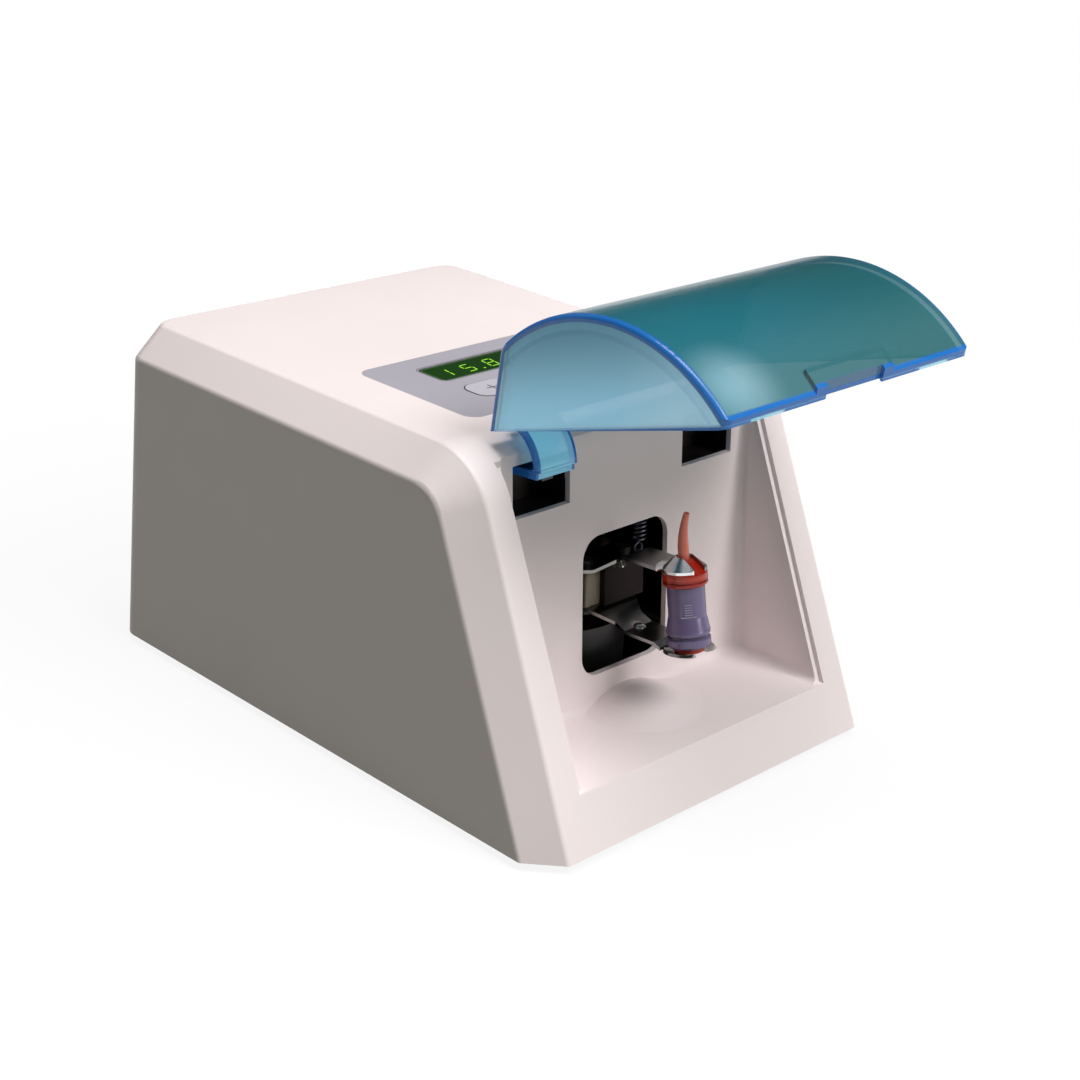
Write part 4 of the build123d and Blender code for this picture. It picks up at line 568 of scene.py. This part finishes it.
def spring_path(x):
    """The wire's middle line, from the lower ring through the coil to the ring around the bar."""
    low, high = SPRING_LOW + RING, SPRING_HIGH - RING
    path = ring((x, SPRING_Y, SPRING_LOW), math.pi * 0.8, -math.pi * 2.3, "XZ")
    rise = high - low - 2.0 * LEAD
    for step in range(TURNS * STEPS + 1):
        turn = step / STEPS
        reach = COIL * min(1.0, turn * SPREAD, (TURNS - turn) * SPREAD)
        angle = turn * math.tau
        path.append(Vector((x + reach * math.cos(angle), SPRING_Y + reach * math.sin(angle),
                            low + LEAD + rise * turn / TURNS)))
    return path + ring((x, SPRING_Y, SPRING_HIGH), -math.pi / 2, -math.pi * 1.8, "YZ")


def wire_tree():
    """A node tree that sweeps a round wire along a chain of edges."""
    tree = bpy.data.node_groups.new("wound_wire", "GeometryNodeTree")
    for name, kind in (("Path", "Geometry"), ("Wire Radius", "Float"), ("Sides", "Int"),
                       ("Finish", "Material")):
        tree.interface.new_socket(name, in_out="INPUT", socket_type="NodeSocket" + kind)
    tree.interface.new_socket("Wire", in_out="OUTPUT", socket_type="NodeSocketGeometry")
    make = tree.nodes.new
    given, result = make("NodeGroupInput"), make("NodeGroupOutput")
    line, profile = make("GeometryNodeMeshToCurve"), make("GeometryNodeCurvePrimitiveCircle")
    sweep, real = make("GeometryNodeCurveToMesh"), make("GeometryNodeRealizeInstances")
    dress = make("GeometryNodeSetMaterial")
    sweep.inputs["Fill Caps"].default_value = True
    for source, target in (
            (given.outputs["Path"], line.inputs["Mesh"]), (line.outputs[0], sweep.inputs["Curve"]),
            (given.outputs["Wire Radius"], profile.inputs["Radius"]),
            (given.outputs["Sides"], profile.inputs["Resolution"]),
            (profile.outputs[0], sweep.inputs["Profile Curve"]), (sweep.outputs[0], real.inputs[0]),
            (real.outputs[0], dress.inputs["Geometry"]),
            (given.outputs["Finish"], dress.inputs["Material"]), (dress.outputs[0], result.inputs[0])):
        tree.links.new(source, target)
    return tree


def wound(name, path, finish):
    """One solid wire along a path given in millimetres."""
    line = bpy.data.meshes.new(name + "_path")
    edges = [(i, i + 1) for i in range(len(path) - 1)]
    line.from_pydata([point * MM for point in path], edges, [])
    made = bpy.data.objects.new(name, line)
    bpy.context.scene.collection.objects.link(made)
    winding = made.modifiers.new("winding", "NODES")
    winding.node_group = WIRE_TREE
    socket = {item.name: item.identifier for item in WIRE_TREE.interface.items_tree
              if item.in_out == "INPUT"}
    winding[socket["Wire Radius"]] = WIRE * MM
    winding[socket["Sides"]] = SIDES
    winding[socket["Finish"]] = finish.material
    view = bpy.context.evaluated_depsgraph_get()
    solid = bpy.data.meshes.new_from_object(made.evaluated_get(view))
    made.modifiers.remove(winding)
    made.data = solid
    return made


WIRE_TREE = wire_tree()
for side, x in (("left", -SPRING_X), ("right", SPRING_X)):
    spring = wound("wound_spring_" + side, spring_path(x), spring_steel)
    spring.data.polygons.foreach_set("use_smooth", [True] * len(spring.data.polygons))
    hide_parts("fork_spring_" + side)
    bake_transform(spring)
    print(spring.name, len(spring.data.polygons), "faces")

# %% [markdown]
# ## Floor, room and lamps
# The machine stands on a plain pale sheet. The camera sees the sheet as paper white with the object's
# shadow on it, while the light that bounces off it stays dim, as it does off a grey bench. A wide lamp
# hangs above, a second one stands high in front, and a small weak one stands low at the front right and
# looks into the bay. So the left side falls into shade.

# %% Floor, room and lamps
FLOOR_HALF = 6  # in metres
BENCH, PAPER, SHADOW_SHARE, CLEAR = (0.125, 0.14, 0.115), (0.93, 0.93, 0.93), 0.12, (180.0, 420.0)
ROOM = (0.036, 0.043, 0.033)


def studio_floor():
    """Paper white to the camera, dim to everything else, with its shadow near the machine only."""
    finish = Finish("floor_paper", (0.24, 0.24, 0.23), Roughness=0.9, Specular_IOR_Level=0.1)
    finish.bump(finish.noise(200.0), 0.05, 0.0001)
    path = finish.tree.nodes.new("ShaderNodeLightPath")
    seen = Value(finish, path.outputs["Is Camera Ray"])
    for way in ("Is Glossy Ray", "Is Transmission Ray"):
        seen = seen.most(Value(finish, path.outputs[way]))
    finish.set(Base_Color=finish.mix(seen, BENCH, PAPER))
    x, y, z = finish.turned()
    far = finish.length(x, y).ramp(*CLEAR)
    paper = finish.tree.nodes.new("ShaderNodeEmission")
    paper.inputs["Color"].default_value = (1, 1, 1, 1)
    blend = finish.tree.nodes.new("ShaderNodeMixShader")
    finish.tree.links.new((seen * (1.0 - SHADOW_SHARE + far * SHADOW_SHARE)).socket, blend.inputs[0])
    finish.tree.links.new(finish.shader.outputs[0], blend.inputs[1])
    finish.tree.links.new(paper.outputs[0], blend.inputs[2])
    finish.tree.links.new(blend.outputs[0], finish.tree.nodes["Material Output"].inputs["Surface"])
    return finish


def lamp(name, at, aim, size, power):
    """A square soft lamp at a place, turned to another place."""
    light = bpy.data.lights.new(name, "AREA")
    light.size, light.energy = size, power
    made = bpy.data.objects.new(name, light)
    made.location = at
    made.rotation_euler = (Vector(aim) - Vector(at)).to_track_quat("-Z", "Y").to_euler()
    bpy.context.scene.collection.objects.link(made)


sheet = bpy.data.meshes.new("floor")
sheet.from_pydata([(-FLOOR_HALF, -FLOOR_HALF, 0), (FLOOR_HALF, -FLOOR_HALF, 0),
                   (FLOOR_HALF, FLOOR_HALF, 0), (-FLOOR_HALF, FLOOR_HALF, 0)], [], [(0, 1, 2, 3)])
floor = bpy.data.objects.new("floor", sheet)
bpy.context.scene.collection.objects.link(floor)
sheet.materials.append(studio_floor().material)
lamp("overhead", (-0.16, -0.12, 1.5), (0, 0, 0.1), 0.8, 15.7)
lamp("front", (0.18, -0.85, 1.1), (0, -0.05, 0.08), 0.7, 11.6)
lamp("bay", (0.40, -1.1, 0.4), (0, -0.05, 0.07), 0.4, 2.6)

world = bpy.data.worlds.new("room")
bpy.context.scene.world = world
world.use_nodes = True
room = world.node_tree
back = room.nodes["Background"]
back.inputs["Color"].default_value = (*ROOM, 1)
white = room.nodes.new("ShaderNodeBackground")
path = room.nodes.new("ShaderNodeLightPath")
seen = room.nodes.new("ShaderNodeMixShader")
room.links.new(path.outputs["Is Camera Ray"], seen.inputs[0])
room.links.new(back.outputs[0], seen.inputs[1])
room.links.new(white.outputs[0], seen.inputs[2])
white.inputs["Color"].default_value = (1, 1, 1, 1)
room.links.new(seen.outputs[0], room.nodes["World Output"].inputs["Surface"])
print("lamps:", len(bpy.data.lights))

# %% [markdown]
# ## Sizes and finish
# The dressed machine must not outgrow the measured one.

# %% End of the scene
print("scene built")
